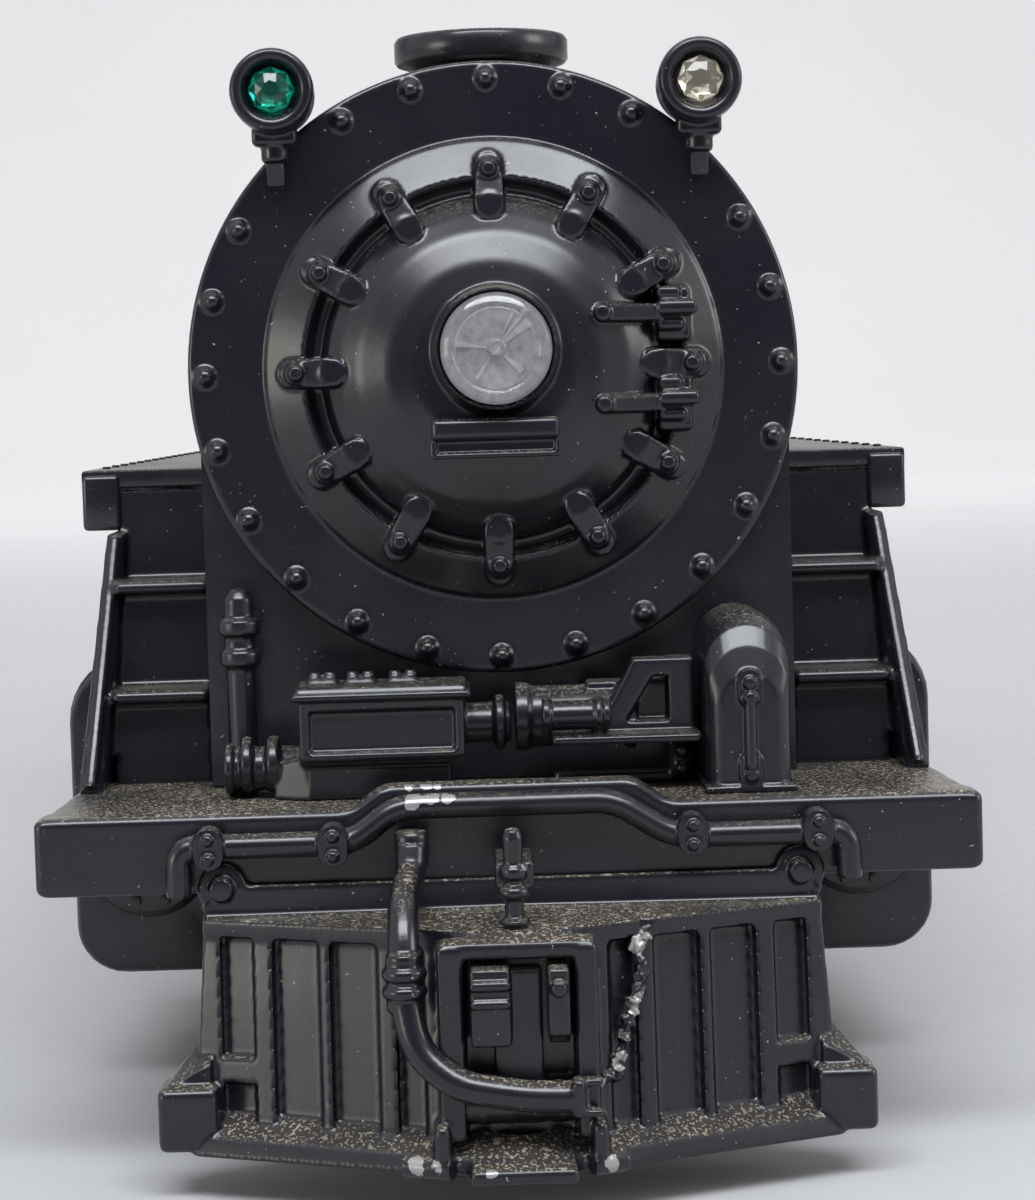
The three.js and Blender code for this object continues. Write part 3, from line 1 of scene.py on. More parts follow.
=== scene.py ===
"""Looks of the model steam locomotive.

Shapes are drawn in millimetres at stations measured from the front face of the pilot beam,
then moved into the shared frame, which is in metres with its origin under the engine.
"""
import math

import bmesh
import bpy
from mathutils import Matrix, Vector, noise


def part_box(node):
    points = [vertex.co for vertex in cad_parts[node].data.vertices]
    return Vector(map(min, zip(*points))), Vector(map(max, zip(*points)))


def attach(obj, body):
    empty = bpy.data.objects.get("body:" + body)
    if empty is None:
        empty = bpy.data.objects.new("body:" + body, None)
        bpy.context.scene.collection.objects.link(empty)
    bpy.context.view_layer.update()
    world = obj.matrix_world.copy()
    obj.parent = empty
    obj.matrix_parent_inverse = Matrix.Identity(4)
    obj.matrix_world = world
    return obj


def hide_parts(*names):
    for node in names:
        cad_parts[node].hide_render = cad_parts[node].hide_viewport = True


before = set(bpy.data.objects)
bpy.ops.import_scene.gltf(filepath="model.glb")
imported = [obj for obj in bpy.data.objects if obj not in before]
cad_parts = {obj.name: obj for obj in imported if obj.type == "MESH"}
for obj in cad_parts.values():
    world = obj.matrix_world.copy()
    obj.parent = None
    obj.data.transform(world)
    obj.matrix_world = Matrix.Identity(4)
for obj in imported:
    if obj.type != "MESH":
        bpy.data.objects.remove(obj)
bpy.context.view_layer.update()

MM = 0.001
BODY = "engine_body"
BEAM_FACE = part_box("pilot_deck")[0][1]
TO_FRAME = Matrix.Translation((0, BEAM_FACE, 0)) @ Matrix.Scale(MM, 4)
SIDES = (("right", -1), ("left", 1))

BOILER_Z = 52.1
SMOKEBOX_R = 20.64
BARREL_R = 22.4
SMOKEBOX_END = 60
TAPER_END = 100
SHELL_END = 222
HEADLIGHT_Z = 53.3
STACK_Y = 29

# Castings are melted on a coarser grid while the script is only being tried.
COARSER = 1.0


# ------------------------------------------------------------------ shape tools

def link(obj):
    bpy.context.scene.collection.objects.link(obj)
    return obj


def from_bmesh(bm):
    """Turns a bmesh into an object, with its faces looking outwards."""
    bmesh.ops.remove_doubles(bm, verts=bm.verts, dist=1e-5)
    bmesh.ops.recalc_face_normals(bm, faces=bm.faces)
    mesh = bpy.data.meshes.new("shape")
    bm.to_mesh(mesh)
    bm.free()
    return link(bpy.data.objects.new("shape", mesh))


def along(axis, a, b, depth):
    """A point whose in-plane coordinates are a and b, in the order x, y, z."""
    if axis == "x":
        return (depth, a, b)
    if axis == "y":
        return (a, depth, b)
    return (a, b, depth)


def settle(obj):
    """Replaces an object by its mesh with all its modifiers applied."""
    bpy.context.view_layer.update()
    graph = bpy.context.evaluated_depsgraph_get()
    mesh = bpy.data.meshes.new_from_object(obj.evaluated_get(graph))
    bpy.data.objects.remove(obj)
    return link(bpy.data.objects.new("shape", mesh))


def joined(shapes):
    """Several shapes as one object, not melted together."""
    bm = bmesh.new()
    for shape in shapes:
        bm.from_mesh(shape.data)
        bpy.data.objects.remove(shape)
    mesh = bpy.data.meshes.new("shape")
    bm.to_mesh(mesh)
    bm.free()
    return link(bpy.data.objects.new("shape", mesh))


def polar(radius, angle, centre=(0, 0)):
    """The point at a radius and an angle in degrees about a centre."""
    turn = math.radians(angle)
    return centre[0] + radius * math.cos(turn), centre[1] + radius * math.sin(turn)


def arc(a, b, radius, start, end, steps=8):
    """Points of an arc about (a, b), from one angle to another in degrees."""
    return [polar(radius, start + (end - start) * i / steps, (a, b)) for i in range(steps + 1)]


def circle(a, b, radius, steps=28):
    """Points of a full circle."""
    return arc(a, b, radius, 0, 360 * (steps - 1) / steps, steps - 1)


def soften(points, radius, closed=False, steps=4):
    """Rounds the corners of an outline or a path."""
    corners = [Vector(p) for p in points]
    count = len(corners)
    rounded = []
    for i, corner in enumerate(corners):
        if not closed and i in (0, count - 1):
            rounded.append(tuple(corner))
            continue
        before = corners[i - 1] - corner
        after = corners[(i + 1) % count] - corner
        reach = min(radius, before.length * 0.45, after.length * 0.45)
        start = corner + before.normalized() * reach
        end = corner + after.normalized() * reach
        for step in range(steps + 1):
            t = step / steps
            rounded.append(tuple(start * (1 - t) ** 2 + corner * (2 * t * (1 - t)) + end * t ** 2))
    return rounded


def lathe(axis, profile, centre=(0, 0), sides=96, edge=0.0):
    """Turned shape from [radius, station] points. It starts and ends on the axis, or closes."""
    closes = profile[0] == profile[-1]
    points = profile[:-1] if closes else profile
    if edge:
        points = soften(points, edge, closed=closes)
    bm = bmesh.new()
    rings = []
    for radius, station in points:
        steps = 1 if radius < 1e-6 else sides
        ring = []
        for i in range(steps):
            angle = 2 * math.pi * (i + 0.5) / sides
            a, b = centre
            place = along(axis, a + radius * math.cos(angle), b + radius * math.sin(angle), station)
            ring.append(bm.verts.new(place))
        rings.append(ring)
    pairs = list(zip(rings, rings[1:]))
    if closes:
        pairs.append((rings[-1], rings[0]))
    for low, high in pairs:
        for i in range(sides):
            j = (i + 1) % sides
            corners = [low[i % len(low)], low[j % len(low)], high[j % len(high)], high[i % len(high)]]
            face = list(dict.fromkeys(corners))
            if len(face) > 2:
                bm.faces.new(face)
    return from_bmesh(bm)


def pin(axis, radius, low, high, centre, sides=32, edge=0.15):
    """Round bar or disc between two stations of an axis."""
    low, high = min(low, high), max(low, high)
    return lathe(axis, [(0, low), (radius, low), (radius, high), (0, high)], centre, sides, edge)


def plate(axis, outline, low, high, holes=(), bevel=0.15, rounding=0.0):
    """Flat piece with bevelled edges: an outline and its holes, drawn in the other two axes."""
    low, high = min(low, high), max(low, high)
    curve = bpy.data.curves.new("outline", "CURVE")
    curve.dimensions = "2D"
    curve.fill_mode = "BOTH"
    curve.extrude = (high - low) / 2 - bevel
    curve.bevel_depth = bevel
    curve.bevel_resolution = 2
    curve.offset = -bevel
    for loop in [outline, *holes]:
        points = soften(loop, rounding, closed=True) if rounding else loop
        spline = curve.splines.new("POLY")
        spline.points.add(len(points) - 1)
        for point, (a, b) in zip(spline.points, points):
            point.co = (a, b, 0, 1)
        spline.use_cyclic_u = True
    flat = settle(link(bpy.data.objects.new("shape", curve)))
    for vertex in flat.data.vertices:
        a, b, depth = vertex.co
        vertex.co = along(axis, a, b, (low + high) / 2 + depth)
    bm = bmesh.new()
    bm.from_mesh(flat.data)
    bpy.data.objects.remove(flat)
    return from_bmesh(bm)


def block(x0, x1, y0, y1, z0, z1, edge=0.2):
    """Box with rounded edges."""
    low = Vector((min(x0, x1), y0, z0))
    high = Vector((max(x0, x1), y1, z1))
    bm = bmesh.new()
    bmesh.ops.create_cube(bm, size=1)
    for vertex in bm.verts:
        vertex.co = (low + high) / 2 + Vector(vertex.co) * (high - low)
    if edge:
        bmesh.ops.bevel(bm, geom=bm.edges[:], offset=edge, segments=3, profile=0.5, affect="EDGES")
    return from_bmesh(bm)


def hull(points, edge=0.0):
    """Smallest convex shape around some points, its edges rounded if asked."""
    bm = bmesh.new()
    for point in points:
        bm.verts.new(point)
    result = bmesh.ops.convex_hull(bm, input=bm.verts)
    loose = [g for g in result["geom_interior"] if isinstance(g, bmesh.types.BMVert)]
    bmesh.ops.delete(bm, geom=loose, context="VERTS")
    bmesh.ops.dissolve_limit(bm, angle_limit=0.01, verts=bm.verts, edges=bm.edges)
    if edge:
        bmesh.ops.bevel(bm, geom=bm.edges[:], offset=edge, segments=3, profile=0.5, affect="EDGES")
    return from_bmesh(bm)


def bar(points, radius, bend=1.5, sides=6):
    """Round bar along a path whose corners are rounded off."""
    path = soften(points, bend, steps=8)
    curve = bpy.data.curves.new("path", "CURVE")
    curve.dimensions = "3D"
    curve.bevel_depth = radius
    curve.bevel_resolution = sides
    curve.use_fill_caps = True
    spline = curve.splines.new("POLY")
    spline.points.add(len(path) - 1)
    for point, place in zip(spline.points, path):
        point.co = (*place, 1)
    return settle(link(bpy.data.objects.new("shape", curve)))


def cut(shape, *cutters):
    """Takes the cutters away from a shape."""
    tool = joined(cutters)
    modifier = shape.modifiers.new("cut", "BOOLEAN")
    modifier.operation = "DIFFERENCE"
    modifier.solver = "EXACT"
    modifier.use_self = True
    modifier.object = tool
    result = settle(shape)
    bpy.data.objects.remove(tool)
    return result


def cast(shapes, voxel=0.15, passes=4, keep=1.0):
    """Melts shapes into one casting with softened edges and inner corners."""
    whole = joined(shapes)
    remesh = whole.modifiers.new("melt", "REMESH")
    remesh.mode = "VOXEL"
    remesh.voxel_size = voxel * COARSER
    smooth = whole.modifiers.new("soften", "SMOOTH")
    smooth.factor = 0.5
    smooth.iterations = passes
    if keep < 1:
        thin = whole.modifiers.new("thin", "DECIMATE")
        thin.ratio = keep
    return settle(whole)


def moved(shape, matrix):
    """The same shape after a transform of its mesh."""
    shape.data.transform(matrix)
    return shape


def around(axis, centre, angle):
    """Turn about an axis line, by an angle in degrees."""
    middle = Vector(along(axis, *centre, 0))
    return Matrix.Translation(middle) @ Matrix.Rotation(math.radians(angle), 4, axis.upper()) \
        @ Matrix.Translation(-middle)


def mirror_x(shape, sign):
    """The same shape on the engine's other side."""
    if sign > 0:
        return shape
    shape.data.transform(Matrix.Scale(-1, 4, (1, 0, 0)))
    shape.data.flip_normals()
    return shape


def piece(name, shapes, material, node=None, body=BODY, angle=38, sign=1):
    """Puts finished shapes into the frame as one piece of the object.

    They are drawn for the left side, and a sign of -1 puts them on the right.
    """
    whole = mirror_x(joined(shapes), sign)
    whole.name = name
    mesh = whole.data
    mesh.name = name
    mesh.transform(TO_FRAME)
    mesh.shade_smooth()
    mesh.set_sharp_from_angle(angle=math.radians(angle))
    mesh.materials.clear()
    mesh.materials.append(material)
    if node:
        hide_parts(*([node] if isinstance(node, str) else node))
    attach(whole, body)
    return whole


# ------------------------------------------------------------------ materials

class Nodes:
    """Short ways to add shader nodes to one material."""

    def __init__(self, name):
        self.material = bpy.data.materials.new(name)
        self.material.use_nodes = True
        self.tree = self.material.node_tree
        self.shader = self.tree.nodes["Principled BSDF"]
        self.place = self.add("ShaderNodeTexCoord").outputs["Object"]

    def add(self, kind, **settings):
        node = self.tree.nodes.new(kind)
        for key, value in settings.items():
            setattr(node, key, value)
        return node

    def feed(self, source, target):
        if isinstance(source, bpy.types.NodeSocket):
            self.tree.links.new(source, target)
        else:
            target.default_value = source

    def noise(self, scale, detail=4.0, roughness=0.5, stretch=None):
        node = self.add("ShaderNodeTexNoise")
        node.inputs["Scale"].default_value = scale
        node.inputs["Detail"].default_value = detail
        node.inputs["Roughness"].default_value = roughness
        source = self.place
        if stretch:
            mapping = self.add("ShaderNodeMapping")
            mapping.inputs["Scale"].default_value = stretch
            self.feed(source, mapping.inputs["Vector"])
            source = mapping.outputs["Vector"]
        self.feed(source, node.inputs["Vector"])
        return node.outputs["Fac"]

    def ramp(self, source, low, high, out_low=0.0, out_high=1.0):
        node = self.add("ShaderNodeMapRange")
        self.feed(source, node.inputs["Value"])
        for key, value in (("From Min", low), ("From Max", high), ("To Min", out_low),
                           ("To Max", out_high)):
            node.inputs[key].default_value = value
        return node.outputs["Result"]

    def math(self, operation, a, b):
        node = self.add("ShaderNodeMath", operation=operation)
        self.feed(a, node.inputs[0])
        self.feed(b, node.inputs[1])
        return node.outputs[0]

    def mix(self, share, a, b):
        node = self.add("ShaderNodeMix", data_type="RGBA")
        self.feed(share, node.inputs["Factor"])
        self.feed(a, node.inputs[6])
        self.feed(b, node.inputs[7])
        return node.outputs[2]

    def upward(self, low=0.5, high=0.95):
        """How much the surface faces up."""
        split = self.add("ShaderNodeSeparateXYZ")
        self.feed(self.add("ShaderNodeNewGeometry").outputs["Normal"], split.inputs[0])
        return self.ramp(split.outputs["Z"], low, high)

    def edges(self, low=0.53, high=0.6):
        """Where the surface is an outer edge."""
        return self.ramp(self.add("ShaderNodeNewGeometry").outputs["Pointiness"], low, high)

    def near(self, centre, radius):
        """1 at a point of the frame, falling to 0 at a radius, both in millimetres."""
        distance = self.add("ShaderNodeVectorMath", operation="DISTANCE")
        self.feed(self.place, distance.inputs[0])
        distance.inputs[1].default_value = TO_FRAME @ Vector(centre)
        return self.ramp(distance.outputs["Value"], radius * MM, radius * 0.4 * MM)

    def bump(self, height, strength, distance=0.0001):
        node = self.add("ShaderNodeBump")
        node.inputs["Strength"].default_value = strength
        node.inputs["Distance"].default_value = distance
        self.feed(height, node.inputs["Height"])
        self.feed(node.outputs["Normal"], self.shader.inputs["Normal"])

    def set(self, **inputs):
        for key, value in inputs.items():
            self.feed(value, self.shader.inputs[key.replace("_", " ")])


BLACK = (0.0068, 0.0064, 0.0100, 1)
DUST = (0.30, 0.262, 0.2, 1)
SPECK = (0.42, 0.41, 0.38, 1)
CHIP = (0.30, 0.295, 0.29, 1)

# Places where the paint has chipped down to the casting: station points and radii.
CHIPPED = {
    "torn": [((8.0, -6.9, 16.0), 1.7), ((7.2, -7.7, 12.4), 1.2), ((6.2, -8.6, 9.2), 1.0),
             ((4.8, -9.3, 8.0), 0.8)],
    "lever": [((-6.2, -1.9, 24.9), 1.0), ((-5.0, -1.9, 24.9), 0.9), ((-3.9, -1.9, 24.9), 0.7)],
    "hump": [((-6.3, 0.1, 25.5), 0.75), ((-5.3, 0.1, 25.5), 0.7), ((-4.6, 0.1, 25.5), 0.5)],
    "pin": [((0, -8.2, 23.7), 0.8), ((0.7, -8.6, 21.4), 0.5)],
    "pilot": [((-6.4, -11.4, 3.7), 1.0), ((-5.2, -11.9, 3.6), 1.0), ((5.4, -11.9, 3.6), 0.9),
              ((-1.8, -13.5, 3.8), 0.7)],
}


def darker(colour, share):
    return tuple(c * share for c in colour[:3]) + (1,)


def black_paint(name, dust=0.55, gloss=0.25, chips=()):
    """Satin black enamel on a casting, dusty where it faces up, with a painted highlight along its outer
    edges.
    """
    n = Nodes(name)
    cloud = n.noise(130, 3)
    peel = n.noise(900, 2, 0.55)
    settled = n.math("MULTIPLY", n.upward(0.6, 0.97), n.ramp(n.noise(75, 4, 0.6), 0.3, 0.56, 0.25, 1.0))
    small, large = n.ramp(n.noise(5600, 0), 0.62, 0.67), n.ramp(n.noise(3000, 0), 0.67, 0.71)
    specks = n.math("MAXIMUM", small, large)
    grain = n.math("MULTIPLY", specks, settled)
    film = n.math("MULTIPLY", settled, 0.14)
    dirt = n.math("MULTIPLY", n.math("MAXIMUM", grain, film), dust)
    stray = n.math("MULTIPLY", n.ramp(n.noise(3400, 1), 0.765, 0.8), 0.5)
    # Painted highlight: outer edges are mixed towards a lighter grey than the black, unevenly along a
    # noise.
    edge_highlight = n.math("MULTIPLY", n.edges(), n.ramp(cloud, 0.4, 0.65, 0.1, 0.5))
    paint = n.mix(edge_highlight, BLACK, (0.03, 0.03, 0.036, 1))
    colour = n.mix(stray, n.mix(dirt, paint, DUST), SPECK)
    rough = n.math("ADD", n.ramp(cloud, 0.3, 0.7, gloss - 0.04, gloss + 0.06),
                   n.math("MULTIPLY", dirt, 0.5))
    metal = 0.0
    if chips:
        bare = n.near(*chips[0])
        for chip in chips[1:]:
            bare = n.math("MAXIMUM", bare, n.near(*chip))
        ragged = n.ramp(n.math("ADD", bare, n.ramp(n.noise(1100, 3), 0.3, 0.7, -0.75, 0.2)), 0.42, 0.5)
        colour = n.mix(ragged, colour, CHIP)
        metal = n.math("MULTIPLY", ragged, 0.4)
    n.set(Base_Color=colour, Roughness=rough, Metallic=metal, Specular_IOR_Level=0.55)
    height = n.math("ADD", n.math("MULTIPLY", peel, 0.6), n.math("MULTIPLY", grain, 0.9))
    n.bump(height, 0.13)
    return n.material


def bright_metal(name, colour, rough=0.28, stretch=(1, 0.03, 1), tarnish=(0.12, 0.1, 0.08, 1)):
    """Bare metal with fine drawn lines and darker stains."""
    n = Nodes(name)
    lines = n.noise(2400, 2, 0.6, stretch)
    stains = n.ramp(n.noise(90, 5, 0.6), 0.46, 0.72)
    pits = n.ramp(n.noise(1500, 2), 0.66, 0.74)
    shade = n.mix(n.ramp(lines, 0.3, 0.7), colour, darker(colour, 0.8))
    soiled = n.mix(n.math("MAXIMUM", n.math("MULTIPLY", stains, 0.45), pits), shade, tarnish)
    roughness = n.math("ADD", n.ramp(lines, 0.3, 0.7, rough - 0.06, rough + 0.08),
                       n.math("MULTIPLY", stains, 0.25))
    n.set(Base_Color=soiled, Roughness=roughness, Metallic=1.0)
    n.bump(lines, 0.12)
    return n.material


def clear_glass(name, colour, rough=0.04, cloud=0.1):
    """Moulded clear plastic or a glass jewel, slightly hazed."""
    n = Nodes(name)
    haze = n.ramp(n.noise(420, 4), 0.4, 0.75, rough, rough + cloud)
    tint = n.mix(n.ramp(n.noise(700, 3), 0.45, 0.7), colour, darker(colour, 0.8))
    n.set(Base_Color=tint, Roughness=haze, Transmission_Weight=0.92, IOR=1.5)
    n.bump(n.noise(500, 2), 0.08)
    return n.material


def dull_board(name, colour, rough=0.75):
    """Fibre board or moulded phenolic."""
    n = Nodes(name)
    fibre = n.noise(1400, 5, 0.65, (1, 0.25, 1))
    n.set(Base_Color=n.mix(n.ramp(fibre, 0.35, 0.7), colour, darker(colour, 0.55)),
          Roughness=n.ramp(fibre, 0.3, 0.7, rough - 0.1, rough + 0.1))
    n.bump(fibre, 0.3)
    return n.material


def studio_floor(name):
    """Pale matt paper."""
    n = Nodes(name)
    n.set(Base_Color=n.mix(n.noise(4, 3), (0.41, 0.41, 0.416, 1), (0.44, 0.44, 0.445, 1)),
          Roughness=n.ramp(n.noise(300, 3), 0.3, 0.7, 0.6, 0.75))
    n.bump(n.noise(900, 3), 0.04)
    return n.material


PAINT = black_paint("black_enamel")
CLEAN_PAINT = black_paint("black_enamel_clean", dust=0.35)
DOOR_PAINT = black_paint("black_enamel_door", dust=0.5)
LEVER_PAINT = black_paint("black_enamel_lever", chips=CHIPPED["lever"])
BEAM_PAINT = black_paint("black_enamel_beam", dust=1.0, chips=CHIPPED["hump"])
PIN_PAINT = black_paint("black_enamel_pin", chips=CHIPPED["pin"])
PILOT_PAINT = black_paint("black_enamel_pilot", dust=1.0, chips=CHIPPED["pilot"])
WHEEL_PAINT = black_paint("black_enamel_wheel", dust=0.4, gloss=0.36)
FRAME_PAINT = black_paint("black_frame_paint", dust=0.6, gloss=0.45)
TORN_PAINT = black_paint("black_enamel_torn", dust=1.0, gloss=0.3, chips=CHIPPED["torn"])
STEEL = bright_metal("drawn_steel", (0.56, 0.55, 0.53, 1))
TYRE_STEEL = bright_metal("tyre_steel", (0.45, 0.44, 0.42, 1), 0.32, (0.05, 1, 1))
BRASS = bright_metal("turned_brass", (0.66, 0.47, 0.17, 1), 0.25, (1, 1, 0.05))
COPPER = bright_metal("wound_copper", (0.55, 0.22, 0.09, 1), 0.4, (0.05, 1, 1))
IRON = bright_metal("motor_iron", (0.22, 0.21, 0.2, 1), 0.5, (0.02, 1, 1))
TIN = bright_metal("tin_plate", (0.6, 0.6, 0.6, 1), 0.35)
MOULDING = dull_board("lamp_moulding", (0.36, 0.35, 0.36, 1), 0.35)
# A lighter copy of the lamp moulding, used for highlights painted into the headlight.
LAMP_HIGHLIGHT_PAINT = dull_board("lamp_painted_highlights", (0.58, 0.56, 0.55, 1), 0.3)
LENS = clear_glass("clear_lens", (0.9, 0.89, 0.92, 1))
BULB = clear_glass("bulb_glass", (0.95, 0.95, 0.92, 1), 0.02, 0.04)
GREEN_JEWEL = clear_glass("green_jewel", (0.01, 0.36, 0.24, 1), 0.02, 0.05)
CLEAR_JEWEL = clear_glass("clear_jewel", (0.86, 0.8, 0.66, 1), 0.02, 0.05)
BOARD = dull_board("fibre_board", (0.11, 0.05, 0.025, 1))


# ------------------------------------------------------------------ smokebox front

PLATE = 12.0
RIVET_RING = 19.45
CLAMPS = 12
CLAMP_STEP = 360 / CLAMPS


def clamp_at(angle):
    """A dog that bridges the door's groove: a rounded strip with a hooked inner end and a bolt."""
    sides = [(x, y, BOILER_Z + z) for x in (-0.95, 0.95)
             for y, z in ((8.9, 10.3), (8.75, 11.2), (9.65, 13.5), (12.0, 13.5), (10.8, 10.2))]
    outer_end = [(x, y, z) for y in (9.75, 12.4) for x, z in arc(0, BOILER_Z + 13.6, 0.95, 0, 180, 12)]
    strip = hull(sides + outer_end)
    toe = pin("y", 0.95, 8.75, 10.8, (0, BOILER_Z + 10.75), 24, 0.25)
    washer = pin("y", 0.8, 9.15, 10.4, (0, BOILER_Z + 13.2), 24, 0.12)
    nut = pin("y", 0.52, 8.7, 10.4, (0, BOILER_Z + 13.2), 20, 0.2)
    dog = joined([strip, toe, washer, nut])
    return moved(dog, around("y", (0, BOILER_Z), angle))


def plate_rivet(angle):
    """A domed rivet on a low washer, on the smokebox front plate."""
    ring = lathe("y", [(0, PLATE - 0.14), (0.74, PLATE - 0.14), (0.84, PLATE + 0.3), (0, PLATE + 0.3)],
                 (0, BOILER_Z + RIVET_RING), 24)
    dome = lathe("y", [(0, PLATE - 0.72), (0.25, PLATE - 0.68), (0.48, PLATE - 0.5), (0.6, PLATE - 0.2),
                       (0.6, PLATE), (0, PLATE)], (0, BOILER_Z + RIVET_RING), 24)
    return moved(joined([ring, dome]), around("y", (0, BOILER_Z), angle))


def door_hinge(z):
    """A strap across the door with a stack of three knuckles at its end."""
    strap = hull([(x, y, z + dz) for dz in (-0.55, 0.55)
                  for x, y in ((7.2, 6.95), (11.2, 8.5), (11.2, 10.6), (7.2, 8.2))], 0.12)
    tip = pin("y", 0.56, 6.8, 8.4, (7.2, z), 28, 0.2)
    leaf = block(10.9, 13.2, 9.3, 11.6, z - 1.9, z + 1.7, 0.3)
    knuckles = [block(10.9, x, y, 9.9, z + low, z + high, 0.3)
                for x, y, low, high in ((12.5, 8.5, 0.85, 1.7), (13.6, 8.1, -0.2, 0.75),
                                        (12.7, 8.6, -1.2, -0.4))]
    return [strap, tip, leaf, *knuckles]


def smokebox_front():
    """Riveted plate, dished door with its clamps and hinges, and the headlight's socket."""
    profile = soften([
        (0, 13.8), (SMOKEBOX_R, 13.8), (SMOKEBOX_R, PLATE + 0.2), (SMOKEBOX_R - 0.2, PLATE), (15.5, PLATE),
        (15.35, 11.75), (12.7, 10.3), (12.45, 10.9), (12.1, 11.3), (11.5, 11.25), (11.25, 10.15),
        (10.4, 9.3), (9.0, 8.3), (7.0, 7.4), (5.2, 6.95), (0, 6.75)], 0.35)
    shapes = [lathe("y", profile, (0, BOILER_Z), 160)]
    shapes += [clamp_at(i * CLAMP_STEP) for i in range(CLAMPS)]
    shapes += [plate_rivet(i * 15) for i in range(24) if i not in (3, 21)]
    shapes += door_hinge(55.5) + door_hinge(49.5)
    shapes.append(lathe("y", [(0, 5.2), (3.72, 5.2), (3.74, 4.5), (3.86, 4.3), (4.0, 4.5), (4.05, 5.4),
                              (4.35, 7.8), (0, 7.8)], (0.1, HEADLIGHT_Z), 96))
    shapes.append(block(-3.2, 3.2, 6.1, 8.6, 46.6, 48.3, 0.3))
    shapes.append(block(-7.9, -7.1, 8.1, 9.6, 50.1, 51.0, 0.2))
    piece("smokebox_plate_and_door", [cast(shapes, 0.13, 3)], DOOR_PAINT, "smokebox_front")


# Painted highlights in the headlight, as lighter streaks on the moulding: angle, width in degrees and
# reach.
LENS_HIGHLIGHT_STREAKS = ((38, 14, 2.9), (52, 7, 3.1), (64, 4, 2.5), (172, 9, 2.6), (235, 6, 2.3), (318, 12, 2.2))


def headlight():
    """Clear moulded lens with a ringed hub, over a dull moulding with a few painted highlight streaks."""
    centre = (0.1, HEADLIGHT_Z)
    lens = lathe("y", soften([(0, 5.2), (3.55, 5.2), (3.65, 4.9), (3.65, 4.2), (3.45, 3.7), (2.95, 3.45),
                              (2.75, 3.62), (1.4, 3.4), (0.62, 3.38), (0.55, 3.12), (0.34, 3.1),
                              (0.26, 3.3), (0, 3.32)], 0.1), centre, 128)
    piece("headlight_clear_lens", [lens], LENS, "headlight_lens")
    dish = [(0, 5.05), (0.6, 5.0), (2.6, 4.55), (2.8, 4.7), (3.5, 4.5), (3.5, 5.15), (0, 5.15)]
    piece("headlight_moulding", [lathe("y", dish, centre, 96)], MOULDING)
    # Lighter streaks behind the lens that stand in for highlights.
    highlight_streaks = [pin("y", 0.3, 3.7, 5.0, centre, 24, 0.1)]
    for angle, width, reach in LENS_HIGHLIGHT_STREAKS:
        corners = []
        for radius, depth in ((0.5, 4.9), (reach, 4.35)):
            for side in (-1, 1):
                x, z = polar(radius, angle + side * width / 2, centre)
                corners += [(x, depth, z), (x, 5.1, z)]
        highlight_streaks.append(hull(corners))
    piece("headlight_painted_highlights", highlight_streaks, LAMP_HIGHLIGHT_PAINT)


def number_plate():
    """Blank board with a rounded face above a recessed ledge."""
    face = plate("y", [(-4.3, 47.4), (4.1, 47.4), (4.1, 48.8), (-4.3, 48.8)], 4.75, 6.2, bevel=0.4,
                 rounding=0.35)
    ledge = block(-4.2, 4.0, 5.45, 6.9, 46.4, 47.5, 0.1)
    lip = block(-4.35, 4.15, 5.15, 6.9, 46.2, 46.55, 0.12)
    ends = [block(x, x + 0.35, 5.15, 6.9, 46.3, 47.6, 0.1) for x in (-4.35, 3.8)]
    piece("number_board_blank", [cast([face, ledge, lip, *ends], 0.09, 2)], DOOR_PAINT, "number_plate")


MARKER_X = 14.15
MARKER_Z = 70.75


def marker_lamp(side, sign):
    """Round lamp on a stalk, with a faceted stone."""
    x = sign * MARKER_X
    body = lathe("y", soften([
        (0, 9.0), (1.55, 9.0), (1.75, 8.4), (1.95, 7.95), (2.3, 7.8), (2.65, 7.9), (2.78, 8.4), (2.78, 9.6),
        (2.68, 9.8), (2.68, 12.8), (2.2, 13.7), (0, 13.9)], 0.12), (x, MARKER_Z), 72)
    collar = block(x - 1.5, x + 1.5, 9.7, 11.8, 67.25, 68.6, 0.3)
    neck = pin("z", 0.95, 66.2, 69.2, (x, 10.8), 24, 0.2)
    post = hull([(x + dx, y, z) for dx in (-0.62, 0.62)
                 for y, z in ((10.2, 67.4), (10.9, 64.6), (12.0, 64.3), (12.0, 67.4))], 0.15)
    piece(f"marker_lamp_{side}_housing", [cast([body, collar, neck, post], 0.12, 4)], PAINT,
          f"marker_lamp_{side}")
    stone = faceted_jewel((x, 7.75, MARKER_Z))
    piece(f"marker_{side}_stone", [stone], GREEN_JEWEL if sign < 0 else CLEAR_JEWEL, f"marker_jewel_{side}",
          angle=5)


def faceted_jewel(centre):
    """Round stone with a small flat table and two rows of facets."""
    x, front, z = centre
    rings = [(0.55, -0.35, 0), (1.1, -0.1, 0.5), (1.52, 0.45, 0), (1.5, 0.8, 0), (0.4, 1.15, 0.5)]
    points = []
    for radius, depth, twist in rings:
        for i in range(8):
            a, b = polar(radius, 45 * (i + twist), (x, z))
            points.append((a, front + depth, b))
    return hull(points)


# ------------------------------------------------------------------ pilot beam, pilot and its fittings

BEAM_HALF = 30.5
DECK_Z = 24.0
BEAM_LOW = 18.9


